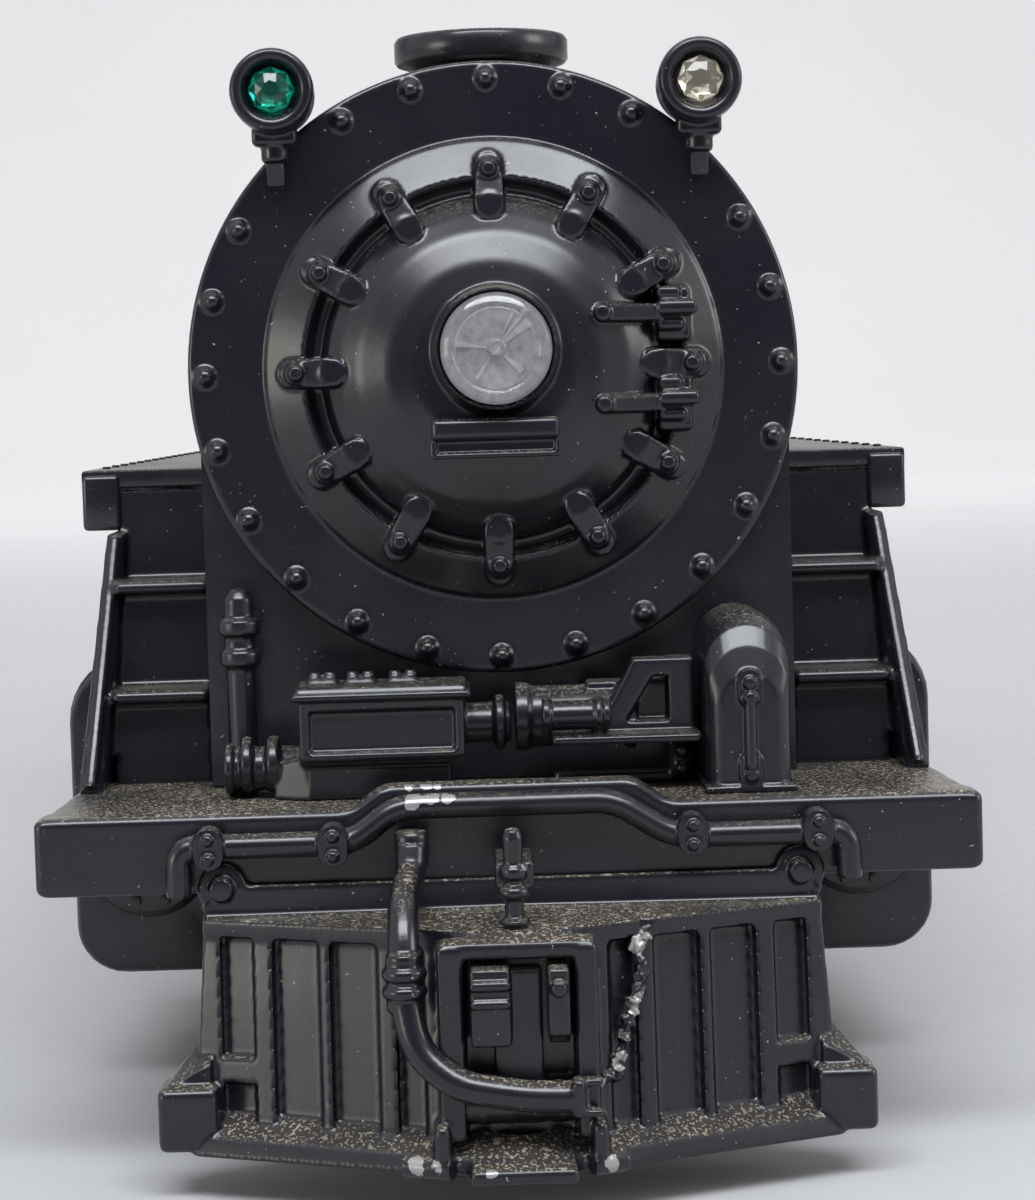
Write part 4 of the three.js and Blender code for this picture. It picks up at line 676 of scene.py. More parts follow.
def pilot_beam():
    """Beam with its raised middle, and the deck behind it."""
    beam = plate("y", [(-BEAM_HALF, BEAM_LOW + 0.2), (-29.9, BEAM_LOW), (29.9, BEAM_LOW),
                       (BEAM_HALF, BEAM_LOW + 0.2), (BEAM_HALF, DECK_Z - 0.2), (29.9, DECK_Z),
                       (10.2, DECK_Z), (8.1, 25.5), (-8.1, 25.5), (-10.2, DECK_Z), (-29.9, DECK_Z),
                       (-BEAM_HALF, DECK_Z - 0.2)], 0, 2.2, bevel=0.35, rounding=0.6)
    rear = plate("y", [(-30.3, BEAM_LOW + 0.2), (30.3, BEAM_LOW + 0.2), (30.3, DECK_Z - 0.05),
                       (-30.3, DECK_Z - 0.05)], 1.2, 3.5, bevel=0.3)
    deck = plate("z", [(-30, 2), (30, 2), (28.9, 27.6), (-28.9, 27.6)], 21.7, DECK_Z, bevel=0.3)
    hump_back = hull([(-9.9, 1.5, DECK_Z - 0.3), (9.9, 1.5, DECK_Z - 0.3), (-8.1, 1.5, 25.4),
                      (8.1, 1.5, 25.4), (-9.4, 2.8, DECK_Z - 0.2), (9.4, 2.8, DECK_Z - 0.2)])
    piece("pilot_beam_and_deck", [cast([beam, rear, deck, hump_back], 0.24, 3)], BEAM_PAINT, "pilot_deck")


PILOT_HALF = 19.7
PILOT_TOP = 17.5
PILOT_TIP = -10.0
PILOT_CORNER = -1.0
FACE_SLOPE = (PILOT_CORNER - PILOT_TIP) / PILOT_HALF
FACE_LEAN = 1.6 / 12.5


def face_at(x, z):
    """Station of the pilot's sloping face."""
    return PILOT_TIP + FACE_SLOPE * abs(x) - FACE_LEAN * (PILOT_TOP - z)


def pilot_slab(sign, x0, x1, z0, z1, front, back, lean_out=0.0):
    """Part of a pilot side, between two depths behind its face."""
    points = []
    for x in (x0, x1):
        for z in (z0, z1):
            reach = x + (lean_out * (PILOT_TOP - z) / 12 if x == x1 else 0)
            points.append((sign * reach, face_at(reach, z) + front, z))
            points.append((sign * reach, face_at(reach, z) + back, z))
    return hull(points)


def pilot():
    """Slatted pilot with a swept face, rim, corner steps and nose plate."""
    shapes = []
    for sign in (-1, 1):
        shapes.append(pilot_slab(sign, 3.4, 19.4, 4.6, PILOT_TOP - 0.1, 0.85, 2.2, 0.8))
        for x0, x1 in ((3.4, 4.3), (5.0, 5.7), (7.5, 8.6), (11.6, 12.3), (15.3, 16.5), (18.7, 19.7)):
            shapes.append(pilot_slab(sign, x0, x1, 5, 17.1, 0, 1.4, 0.8 if x1 == 19.7 else 0))
        shapes.append(pilot_slab(sign, 16.0, 19.6, 7.3, 8.8, 0, 1.4, 0.5))
        shapes.append(pilot_slab(sign, 3.4, 19.7, 16.4, PILOT_TOP, -0.1, 2.6))
        shapes.append(hull([(0, PILOT_TIP - 0.2, 16.5), (0, PILOT_TIP - 0.2, PILOT_TOP),
                            (sign * 19.8, PILOT_CORNER - 0.2, 16.5),
                            (sign * 19.8, PILOT_CORNER - 0.2, PILOT_TOP), (0, -0.3, 16.5),
                            (0, -0.3, PILOT_TOP + 0.15), (sign * 19.8, -0.3, 16.5),
                            (sign * 19.8, -0.3, PILOT_TOP)]))
        shapes.append(hull([(0, -13.2, 2.9), (0, -12.7, 4.0), (0, -9.4, 2.9), (0, -10.4, 5.2),
                            (sign * 20.6, -4.3, 2.9), (sign * 20.6, -3.8, 4.1), (sign * 20.6, -1.1, 2.9),
                            (sign * 20.6, -1.6, 5.2)]))
        shapes.append(block(sign * 18.9, sign * 22.8, -4.2, -0.4, 3.1, 7.2, 0.5))
        shapes.append(hull([(sign * 19.4, -3.2, 7.0), (sign * 22.4, -3.2, 7.0), (sign * 19.4, -0.5, 9.4),
                            (sign * 20.4, -0.5, 9.4), (sign * 22.4, -0.5, 7.0), (sign * 19.4, -3.0, 8.6)]))
        shapes.append(pin("y", 1.6, -0.95, -0.3, (sign * 18.5, 19.35), 40, 0.15))
        shapes.append(pin("y", 0.78, -1.65, -0.8, (sign * 18.5, 19.35), 32, 0.2))
        shapes.append(hull([(sign * x, y, z) for y in (-1.0, -0.35)
                            for x, z in ((0, 17.2), (19.3, 17.2), (19.9, 18.2), (17.4, 19.5), (0, 19.5))]))
    shapes += pilot_centre()
    solid = cast(shapes, 0.16, 4)
    piece("pilot_casting", [solid], PILOT_PAINT, "pilot")


TORN_EDGE = [(8.4, 17.4), (7.5, 15.6), (7.9, 14.4), (7.2, 12.8), (6.9, 11.0), (6.2, 9.6), (5.9, 8.4),
             (4.6, 8.0)]
TORN_SEED = 7


def torn_lip():
    """Ragged raised metal where a blow has torn the edge of one slat."""
    noise.seed_set(TORN_SEED)
    lumps = []
    for index, ((x0, z0), (x1, z1)) in enumerate(zip(TORN_EDGE, TORN_EDGE[1:])):
        for step in range(8):
            t = step / 8
            x, z = x0 + (x1 - x0) * t, z0 + (z1 - z0) * t
            wander = noise.noise_vector((index * 3.1, t * 4.7, 0.5)) * 0.5
            size = 0.6 + 0.25 * noise.noise((t * 5.3, index * 2.3, 1.5))
            middle = Vector((x + wander.x, face_at(x, z) - 0.1, z + wander.z))
            corners = [middle + noise.noise_vector((index, step, k * 1.7)) * size * 1.5 for k in range(16)]
            lumps.append(hull([tuple(corner) for corner in corners]))
    piece("pilot_torn_edge", [cast(lumps, 0.08, 1)], TORN_PAINT)


def pilot_centre():
    """The uprights of the coupler pocket, the arch under it and the nose plate."""
    shapes = [block(-4.9, -3.3, -11.4, -8.6, 5, 17, 0.3), block(3.5, 4.9, -11.4, -8.6, 5, 17, 0.3),
              block(-4.8, 4.9, -9.4, -8.2, 8.4, 16.8, 0.2), block(-4.7, 4.8, -11.3, -8.9, 16.1, 17.2, 0.3),
              block(-4.6, 4.6, -9.2, -7.9, 4.4, 9, 0.2), block(-3.2, 3.4, -13.55, -9.6, 2.75, 3.75, 0.35),
              bar([(-7.2, -10.4, 3.5), (-4.2, -11.75, 3.5)], 0.75),
              bar([(4.2, -11.75, 3.5), (6.4, -10.8, 3.5)], 0.75)]
    for sign in (-1, 1):
        shapes.append(block(sign * 4.3, sign * 5.3, -12.2, -9.2, 3, 6.2, 0.4))
    return shapes


def front_coupler():
    """Drum and jaws in the pilot's pocket."""
    drum = pin("x", 1.25, -4.15, 4.15, (-9.7, 7.0), 48, 0.3)
    ribs = [pin("x", 1.32, x, x + 0.5, (-9.7, 7.0), 48, 0.15) for x in (-2.4, -0.9, 0.6, 2.1)]
    left = [block(-2.9, -0.45, -12.1, -9.4, 10.9, 15.7, 0.25),
            block(-2.9, -0.45, -12.45, -11, 14.4, 15.0, 0.2),
            block(-2.9, -0.45, -12.35, -11, 13.3, 13.8, 0.2)]
    right = [hull([(x, y, z) for x in (1.8, 3.15) for y, z in ((-12.0, 11.6), (-12.0, 15.6), (-9.4, 10.9),
                                                               (-9.4, 15.7), (-11.2, 10.9))], 0.2),
             pin("y", 0.5, -12.5, -11.5, (2.5, 14.4), 24, 0.2)]
    stem = block(-1.5, 1.5, -10.5, -9.4, 7.2, 15.4, 0.2)
    piece("front_coupler_casting", [cast([drum, *ribs, *left, *right, stem], 0.12, 3)], PILOT_PAINT,
          "front_coupler")


def lift_pin():
    """Turned pin that lifts the coupler, and its lug."""
    y = -8.2
    rod = lathe("z", soften([(0, 17.75), (0.95, 17.75), (0.95, 18.0), (0.6, 18.2), (0.6, 19.3),
                             (0.95, 19.45), (1.05, 19.75), (0.95, 20.05), (0.62, 20.2), (0.62, 20.5),
                             (0.85, 20.7), (0.85, 21.2), (0.6, 21.5), (0.66, 23.1), (0.5, 23.6),
                             (0, 23.75)], 0.08), (0, y), 40)
    lug = hull([(x, wy, z) for x in (-1.15, 1.3)
                for wy, z in ((y + 0.2, 19.9), (y + 0.2, 21.6), (y + 4.2, 19.9), (y + 4.2, 21.9))], 0.3)
    piece("coupler_lift_pin", [cast([rod, lug], 0.09, 3)], PIN_PAINT, "coupler_pin")


def cut_lever():
    """Cranked bar across the beam, held by four bolted clips."""
    y = -1.25
    lever = bar([(-21.2, y, 19.0), (-21.2, y, 22.1), (-10.1, y, 22.1), (-7.2, y, 24.3), (6.6, y, 24.3),
                 (10.4, y, 21.9), (21.6, y, 21.9), (21.6, y, 18.9)], 0.82, 1.3, 8)
    shapes = [lever]
    for x in (-19.2, -11.3, 11.6, 19.6):
        shapes.append(hull([(a, depth, b) for depth in (-2.3, -0.35) for dz in (-0.38, 0.38)
                            for a, b in circle(x, 22.05 + dz, 0.98, 24)], 0.0))
        for dz in (-0.62, 0.62):
            shapes.append(pin("y", 0.36, -2.7, -2.2, (x, 22.05 + dz), 20, 0.15))
    piece("cut_lever_bar", [cast(shapes, 0.1, 3)], LEVER_PAINT, "cut_lever")


HOSE_ROUTE = [(-6.3, -3.2, 22.0), (-6.4, -3.8, 20.4), (-6.85, -8.2, 19.2), (-6.85, -10.1, 16.8),
              (-6.85, -10.4, 13.6), (-6.2, -11.2, 10.6), (-3.8, -12.0, 8.6), (0.4, -12.2, 7.9),
              (3.4, -12.2, 7.8)]


def air_hose():
    """Hanging hose with its collars and coupling head."""
    hose = bar(HOSE_ROUTE, 0.98, 2.6, 8)
    socket = [pin("z", 1.1, 20.4, 22.95, (-6.3, -2.3), 40, 0.9),
              block(-7.35, -5.25, -2.3, -0.35, 20.4, 22.2, 0.4)]
    collars = [lathe("z", soften([(0, z), (1.4, z), (1.4, z + 0.65), (0, z + 0.65)], 0.2), (-6.85, -10.3),
                     48) for z in (13.9, 15.0)]
    sleeve = pin("z", 1.15, 12.9, 16.6, (-6.85, -10.25), 40, 0.3)
    head = [block(3.1, 3.9, -13.0, -11.5, 6.6, 9.0, 0.3), block(3.8, 5.0, -12.8, -11.7, 8.5, 9.0, 0.2),
            block(3.8, 5.0, -12.8, -11.7, 6.6, 7.1, 0.2), block(3.8, 4.2, -12.4, -11.7, 6.6, 9.0, 0.15),
            pin("y", 0.4, -13.25, -12.6, (3.5, 8.6), 20, 0.2)]
    piece("air_hose_casting", [cast([hose, *socket, *collars, sleeve, *head], 0.13, 4)], PILOT_PAINT,
          "air_hose")


# ------------------------------------------------------------------ deck equipment

def feedwater_pump():
    """Box pump with a framed front and a bolted lid, its elbow and a riser pipe."""
    shapes = [
        block(-13.5, -2.7, 4.5, 9.6, 26.3, 30.7, 0.35),
        block(-13.5, -2.7, 3.95, 4.8, 29.95, 30.6, 0.2), block(-13.5, -2.7, 3.95, 4.8, 26.7, 27.25, 0.2),
        block(-13.5, -12.85, 3.95, 4.8, 26.7, 30.6, 0.2), block(-3.35, -2.7, 3.95, 4.8, 26.7, 30.6, 0.2),
        block(-14, -2.2, 3.6, 10.1, 30.65, 31.15, 0.2), block(-13.7, -2.5, 3.9, 9.9, 31.05, 31.55, 0.2),
        block(-13.2, -3.6, 5.0, 9.4, 24.0, 26.8, 0.4),
        hull([(-15.4, 6.4, 24), (-15.4, 9.4, 24), (-13, 5, 24), (-13, 9.4, 24), (-15.4, 6.6, 26.4),
              (-15.4, 9.4, 26.4), (-12.6, 5, 27), (-12.6, 9.4, 27)]),
        pin("x", 1.45, -18.2, -13, (8, 25.95), 40), pin("x", 1.75, -18.7, -18.1, (8, 25.95), 40, 0.25),
        pin("x", 1.9, -17.6, -16.8, (8, 26.2), 40, 0.3), pin("x", 1.9, -15.9, -15.0, (8, 26.2), 40, 0.3),
        block(-18.7, -16.7, 8, 12.5, 24, 26.4, 0.4),
        pin("x", 1.35, -2.9, 0.4, (8.6, 28.5), 40), pin("x", 1.85, -0.7, 0.0, (8.6, 28.5), 40, 0.25),
    ]
    for x in (-12, -9.5, -6.7):
        shapes.append(block(x - 1.05, x + 1.05, 5.9, 7.3, 31.4, 31.95, 0.25))
        shapes += [pin("z", 0.42, 31.7, 32.35, (x + dx, 6.6), 20, 0.15) for dx in (-0.52, 0.52)]
    riser = [(0, 24.3), (1.3, 24.3), (1.3, 25.2), (1.0, 25.5), (1.0, 32.5), (1.4, 32.6), (1.4, 33.55),
             (1.08, 33.7), (1.08, 34.6), (1.45, 34.7), (1.45, 35.65), (1.0, 35.8), (1.0, 37.1), (0.6, 37.7),
             (0, 37.85)]
    shapes.append(lathe("z", riser, (-17.7, 11.6), 48, 0.12))
    piece("feedwater_pump_casting", [cast(shapes, 0.14, 3)], PAINT, "feedwater_pump")


def pump_bracket():
    """Pump barrel behind a shelf, braced by a webbed gusset with bolted clips."""
    barrel = [(0, 0.7), (2.3, 0.7), (2.3, 1.6), (2.05, 1.8), (2.05, 8.0), (2.35, 8.2), (2.35, 8.8),
              (0, 8.8)]
    shapes = [
        lathe("x", barrel, (9.6, 28.7), 48, 0.15), pin("x", 1.0, 2.6, 7, (5.7, 29.1), 32, 0.25),
        pin("x", 1.25, 2.4, 3.0, (5.7, 29.1), 32, 0.2), pin("x", 1.25, 5.9, 6.4, (5.7, 29.1), 32, 0.2),
        block(3, 12.9, 4.4, 11, 27.2, 27.8, 0.2), block(5.7, 6.9, 5.7, 9.6, 28.2, 29.8, 0.25),
        block(10.9, 12.8, 8.9, 11.9, 24, 32.4, 0.25), block(3.2, 12.6, 9.0, 11.0, 24, 24.8, 0.2),
    ]
    web = plate("y", [(6.0, 27.7), (12.6, 27.7), (12.6, 32.6), (8.6, 32.6)], 6.9, 8.9,
                [[(8.0, 28.4), (9.9, 31.4), (10.9, 31.4), (10.9, 28.4)]], bevel=0.15)
    back = block(5.5, 12.7, 8.6, 11.0, 27.6, 31.0, 0.2)
    shapes += [web, back]
    for z0, z1 in ((24.5, 26.8), (30.0, 32.3)):
        shapes.append(block(11.2, 12.5, 8.6, 9.3, z0, z1, 0.2))
    for z in (25.0, 26.2, 30.5, 31.7):
        shapes.append(pin("y", 0.42, 8.2, 9.2, (11.85, z), 24, 0.15))
    piece("pump_bracket_casting", [cast(shapes, 0.13, 3)], PAINT, "pump_bracket")


SHIELD_X = 15.85
SHIELD_HALF = 2.75


def pump_shield():
    """Domed cover with a long gauge strap down its front."""
    points = []
    for station in (2.55, 2.75, 3.2, 4.0, 5.0, 6.2, 7.5, 13.7):
        reach = min(max(6.1 - station, 0), 3.1)
        crown = 32.6 + math.sqrt(3.1 ** 2 - reach ** 2)
        inset = {2.55: 0.9, 2.75: 0.5, 3.2: 0.15}.get(station, 0)
        half = SHIELD_HALF - inset
        points += [(SHIELD_X - half, station, 24), (SHIELD_X + half, station, 24)]
        points += [(a, station, b) for a, b in arc(SHIELD_X, crown - SHIELD_HALF, half, 0, 180, 14)]
    shell = hull(points)
    strap = [bar([(SHIELD_X, 2.25, 25.6), (SHIELD_X, 2.25, 30.2)], 0.4, 0.1)]
    for z, centre in ((25.15, 25.5), (31.2, 30.85)):
        tab = hull([(a, depth, b) for depth in (2.3, 2.9) for dz in (-0.45, 0.45)
                    for a, b in circle(SHIELD_X, centre + dz, 0.78, 20)])
        strap += [tab, pin("y", 0.42, 1.95, 2.6, (SHIELD_X, z), 24, 0.15)]
    strap.append(pin("y", 0.45, 1.85, 2.6, (SHIELD_X, 30.2), 24, 0.2))
    foot = block(SHIELD_X - SHIELD_HALF - 0.3, SHIELD_X + SHIELD_HALF + 0.3, 2.3, 13.9, 24.0, 24.5, 0.2)
    piece("pump_shield_casting", [cast([shell, *strap, foot], 0.11, 3)], PAINT, "pump_shield")


TREADS = (30.6, 38.0)
STAIR_INNER = 20.35


def front_steps(side, sign):
    """Stair from the deck to the running board, with an outer cheek."""
    inner, outer = sign * STAIR_INNER, sign * 27.0
    shapes = []
    for low, high, y_low, y_high in ((24, 30, 17.3, 17.8), (30.4, 37.4, 20.7, 21.2),
                                     (37.8, 44.3, 23.7, 24.2)):
        shapes.append(hull([(x, y, z) for x in (inner, outer)
                            for y, z in ((y_low, low), (y_high, high), (27.6, low), (27.6, high))]))
    for z, front in zip(TREADS, (16.0, 19.4)):
        shapes.append(block(inner, outer, front, front + 5, z - 0.85, z, 0.25))
    cheek = hull([(sign * x, y, z) for x, y, z in (
        (26.4, 23.0, 41.3), (27.7, 22.6, 41.3), (26.4, 27.6, 41.3), (27.7, 27.6, 41.3),
        (27.5, 12.8, 24), (29.1, 12.4, 24), (27.5, 27.6, 24), (29.1, 27.6, 24))])
    edge = bar([(sign * 28.3, 12.5, 24.4), (sign * 27.1, 22.7, 41.0)], 0.45, 1)
    shapes += [cheek, edge]
    for step in range(6):
        z = 26.5 + step * 2.6
        x = 28.95 - (z - 24) * 0.08
        shapes.append(pin("x", 0.4, sign * (x - 0.5), sign * (x + 0.3), (15.6 + (z - 24) * 0.6, z), 16,
                          0.2))
    piece(f"front_steps_{side}_casting", [cast(shapes, 0.2, 3)], PAINT, f"front_steps_{side}")


# ------------------------------------------------------------------ boiler and what stands on it

def boiler_radius(y):
    """Outer radius of the boiler at a station."""
    share = min(max((y - SMOKEBOX_END) / (TAPER_END - SMOKEBOX_END), 0), 1)
    return SMOKEBOX_R + share * (BARREL_R - SMOKEBOX_R)


def ring_rivets(y, angles, lift=0.0, radius=0.36):
    """Rivet heads on the boiler's skin, at clock angles from the top."""
    heads = []
    for angle in angles:
        head = lathe("z", [(0, 0.34), (radius * 0.6, 0.27), (radius, 0), (radius, -0.2), (0, -0.2)], (0, y),
                     10)
        moved(head, Matrix.Translation((0, 0, BOILER_Z + boiler_radius(y) + lift)))
        heads.append(moved(head, around("y", (0, BOILER_Z), angle)))
    return heads


# Turned heads, as points of radius and height.
STAY_HEAD = [(0, 0.25), (0.28, 0.18), (0.34, 0), (0.34, -0.1), (0, -0.1)]
RIVET_HEAD = [(0, 0.28), (0.3, 0.2), (0.38, 0), (0.38, -0.1), (0, -0.1)]


def side_head(profile, sign, x, y, z, sides):
    """A turned head on an upright side wall."""
    return mirror_x(lathe("x", [(radius, x + height) for radius, height in profile], (y, z), sides), sign)


WALL = 1.8
FIREBOX = 166
BAND_STATIONS = (61.2, 99, 133, 165, 195)
LEVER_STATION = 178


def boiler():
    """Hollow barrel with the smokebox saddle and firebox walls, then its bands and rivets."""
    outer = [(SMOKEBOX_R, 13.9), (SMOKEBOX_R, SMOKEBOX_END), (BARREL_R, TAPER_END), (BARREL_R, SHELL_END)]
    inner = [(r - WALL, y) for r, y in reversed(outer)]
    tube = lathe("y", [*outer, *inner, outer[0]], (0, BOILER_Z), 144)
    floor_line = 24.1
    walls = [block(-20.1, 20.1, 14.1, 15.9, floor_line, 48, 0),
             block(-20.05, -18.3, 14.5, 27.7, floor_line, 50, 0),
             block(18.3, 20.05, 14.5, 27.7, floor_line, 50, 0),
             block(-BARREL_R, BARREL_R, FIREBOX, FIREBOX + WALL, 37, 45, 0.3),
             block(-BARREL_R, BARREL_R, SHELL_END - WALL, SHELL_END, 37, 50, 0)]
    for sign in (-1, 1):
        walls.append(block(sign * (BARREL_R - WALL), sign * BARREL_R, FIREBOX, SHELL_END, 37, BOILER_Z,
                           0.25))
    belly = block(-30, 30, 27.7, FIREBOX, 10, 38.8, 0)
    belly_rear = block(-BARREL_R + WALL, BARREL_R - WALL, FIREBOX + WALL, SHELL_END - WALL, 10, 45, 0)
    slot = plate("z", [(-1.3, LEVER_STATION - 5.5), (1.3, LEVER_STATION - 5.5), (1.3, LEVER_STATION + 5.5),
                       (-1.3, LEVER_STATION + 5.5)], 66, 80, bevel=0.05, rounding=0.8)
    chimney = pin("z", 3.2, 66, 80, (0, STACK_Y), 40, 0)
    tube = cut(tube, belly, belly_rear, slot, chimney)
    front_ring = lathe("y", [(5.5, 13.9), (SMOKEBOX_R, 13.9), (SMOKEBOX_R, 15.9), (5.5, 15.9), (5.5, 13.9)],
                       (0, BOILER_Z), 144)
    piece("boiler_barrel", [tube, front_ring, *walls], CLEAN_PAINT, "boiler_shell", angle=30)

    trim = []
    for y in BAND_STATIONS:
        r = boiler_radius(y)
        band = lathe("y", [(r - 0.2, y - 1), (r + 0.22, y - 0.85), (r + 0.22, y + 0.85), (r - 0.2, y + 1),
                           (r - 0.2, y - 1)], (0, BOILER_Z), 144, 0.1)
        under = block(-30, 30, y - 3, y + 3, 10, 46.5, 0)
        trim.append(cut(band, under))
        trim += ring_rivets(y, (-104, -102, 102, 104), 0.22) if y > 70 else []
    seam = range(-105, 106, 6)
    trim += ring_rivets(16.6, seam) + ring_rivets(57, seam)
    trim += ring_rivets(200, [a for a in seam if abs(a) > 6], 0.0, 0.3)
    stays = [(y, z) for z in (47.5, 50.5) for y in range(170, 220, 4)]
    for sign in (-1, 1):
        trim += [side_head(STAY_HEAD, sign, BARREL_R, y, z, 8) for y, z in stays]
    piece("boiler_bands_and_rivets", trim, CLEAN_PAINT)


def backhead():
    """What stands on the boiler's rear plate, inside the cab."""
    plate_shapes = [
        lathe("y", [(0, 220), (21.9, 220), (21.9, 226.4), (21.2, 227), (0, 227)], (0, BOILER_Z), 96),
        block(-16, 16, 220, 227, 38, 46, 0.4),
        lathe("y", [(0, 226.5), (5, 226.5), (5, 228), (4.2, 228.5), (0, 228.6)], (0, 44), 48, 0.2),
        block(-6.2, -4.4, 227, 228.6, 41.5, 46.5, 0.3), block(-0.8, 0.8, 227, 232, 49.6, 50.8, 0.3),
        bar([(0, 231.5, 50.2), (0, 231.8, 57)], 0.45, 0.5), pin("x", 0.8, -0.9, 0.9, (231.8, 57), 24, 0.25),
    ]
    for angle in range(0, 360, 18):
        rivet = pin("y", 0.45, 226.8, 227.35, (0, BOILER_Z + 20.2), 12, 0.2)
        plate_shapes.append(moved(rivet, around("y", (0, BOILER_Z), angle)))
    piece("boiler_backhead", plate_shapes, FRAME_PAINT)
    gauges = []
    for x, z in ((-6, 60), (0, 63), (6, 60)):
        bezel = [(0, 228.0), (1.75, 228.0), (1.8, 228.6), (2.2, 228.5), (2.3, 226.8), (0, 226.8)]
        gauges.append(lathe("y", bezel, (x, z), 40, 0.1))
    for x in (-10, 10):
        gauges.append(bar([(x, 227, 50), (x, 228.4, 50.3), (x, 228.4, 56)], 0.4, 0.8))
    piece("backhead_gauges", gauges, BRASS)


def drape(shape, y, low, high):
    """Bends the foot of an upright fitting down over the round boiler."""
    r = boiler_radius(y)
    for vertex in shape.data.vertices:
        share = min(max((high - vertex.co.z) / (high - low), 0), 1)
        reach = min(abs(vertex.co.x), r * 0.9)
        vertex.co.z -= (r - math.sqrt(r * r - reach * reach)) * share ** 1.5
    return shape


def stack():
    """Low chimney with a flared foot and a rolled lip."""
    crown = BOILER_Z + boiler_radius(STACK_Y)
    profile = [(3.45, 71.5), (8.2, crown + 0.05), (7.6, crown + 0.25), (6.2, crown + 0.6),
               (5.5, crown + 1.0), (5.2, 73.95), (5.35, 74.1), (6.1, 74.35), (6.3, 74.6), (6.3, 75.95),
               (6.1, 76.25), (5.6, 76.3), (4.5, 76.3), (3.6, 75.9), (3.45, 75.2), (3.45, 71.5)]
    tube = drape(lathe("z", profile, (0, STACK_Y), 96), STACK_Y, crown, 74)
    piece("smokestack_casting", [tube], PAINT, "smokestack", angle=60)


def dome(y, radius, top):
    """Low dome whose foot follows the boiler."""
    crown = BOILER_Z + boiler_radius(y)
    profile = [(0, crown - 1), (radius + 2.3, crown - 0.4), (radius + 2.1, crown + 0.05),
               (radius + 0.9, crown + 0.5), (radius + 0.25, crown + 1.2), (radius, top - 3.4)]
    for angle in (15, 30, 45, 60, 75):
        turn = math.radians(angle)
        profile.append((radius * math.cos(turn) ** 0.8, top - 3.4 + 3.3 * math.sin(turn)))
    profile.append((0, top - 0.05))
    return drape(lathe("z", profile, (0, y), 96), y, crown, top - 3)


SAND_DOME = 74
STEAM_DOME = 122


def domes():
    """Sand dome with lids and pipes, and steam dome with a whistle."""
    sand = [dome(SAND_DOME, 8.2, 78.5)]
    for x in (-2.8, 2.8):
        sand.append(lathe("z", [(0, 77), (1.6, 77), (1.6, 78.9), (1.2, 79.15), (0.4, 79.2), (0, 79.2)],
                          (x, SAND_DOME), 40, 0.12))
    for sign in (-1, 1):
        for dy in (-4, 4):
            path = [(sign * 7.4, SAND_DOME + dy, 75.8), (sign * 10.2, SAND_DOME + dy, 73.0),
                    (sign * 16.5, SAND_DOME + dy, 67.2), (sign * 20.6, SAND_DOME + dy, 60.5),
                    (sign * 22.3, SAND_DOME + dy, 54)]
            sand.append(bar(path, 0.42, 4))
    piece("sand_dome_casting", sand, CLEAN_PAINT, "sand_dome", angle=45)
    y = STEAM_DOME
    steam = [dome(y, 7.6, 79.5), block(5.6, 7.2, y + 4, y + 10.4, 72.2, 74.8, 0.4)]
    piece("steam_dome_casting", steam, CLEAN_PAINT, "steam_dome", angle=45)
    whistle = lathe("z", [(0, 73.5), (0.7, 73.5), (0.7, 76.0), (1.4, 76.25), (1.4, 76.9), (1.15, 77.0),
                          (1.15, 77.3), (1.4, 77.4), (1.4, 79.4), (0.9, 79.95), (0, 80)], (6.4, y + 9.5),
                    40, 0.1)
    piece("whistle", [whistle], BRASS)


BELL_STATION = 46
BELL_Z = 77.2


def bell():
    """Yoke on the boiler, and the bell with its axle and clapper."""
    y = BELL_STATION
    crown = BOILER_Z + boiler_radius(y)
    foot = block(-4.6, 4.6, y - 1.6, y + 1.6, crown - 1.4, crown + 0.55, 0.35)
    arms = []
    for sign in (-1, 1):
        arms.append(hull([(sign * x, y + dy, z) for x in (3.55, 4.35)
                          for dy, z in ((-1.5, crown), (1.5, crown), (-0.75, 76.4), (0.75, 76.4))], 0.12))
        eye = lathe("x", [(0.85, 3.5), (1.35, 3.5), (1.35, 4.4), (0.85, 4.4), (0.85, 3.5)], (y, BELL_Z), 32,
                    0.1)
        arms.append(mirror_x(eye, sign))
    piece("bell_yoke", [foot, *arms], CLEAN_PAINT, "bell_bracket")
    cup = [(0, 77.9), (0.7, 77.85), (1.15, 77.3), (1.35, 76.5), (1.55, 75.6), (1.95, 74.7), (2.3, 74.25),
           (2.25, 74.15), (2.0, 74.3), (1.6, 74.9), (1.25, 75.7), (0.9, 76.6), (0, 76.9)]
    axle = pin("x", 0.45, -4.9, 4.9, (y, BELL_Z), 24, 0.1)
    clapper = lathe("z", [(0, 76.9), (0.15, 76.8), (0.15, 75.0), (0.4, 74.8), (0.4, 74.5), (0, 74.35)],
                    (0, y), 20)
    piece("bell_cup", [lathe("z", cup, (0, y), 64), axle, clapper], BRASS, "bell", "bell")


RAIL_Z = 62
RAIL_STAND = 1.9


def rail_x(y):
    """How far out the handrail runs at a station."""
    return math.sqrt((boiler_radius(y) + RAIL_STAND) ** 2 - (RAIL_Z - BOILER_Z) ** 2)


def handrail(side, sign):
    """Wire rail on turned knobs along the boiler."""
    shapes = [bar([(rail_x(y), y, RAIL_Z) for y in (44, 60, 100, 214)], 0.42, 1)]
    for y in (48, 76, 104, 140, 176, 210):
        x = rail_x(y)
        knob = [(0, x - 2.3), (0.75, x - 2.2), (0.45, x - 1.5), (0.32, x - 0.8), (0.62, x - 0.45),
                (0.72, x), (0.62, x + 0.45), (0, x + 0.6)]
        shapes.append(lathe("x", knob, (y, RAIL_Z), 24))
    piece(f"handrail_{side}_wire", shapes, STEEL, f"handrail_{side}", sign=sign)


# ------------------------------------------------------------------ cab

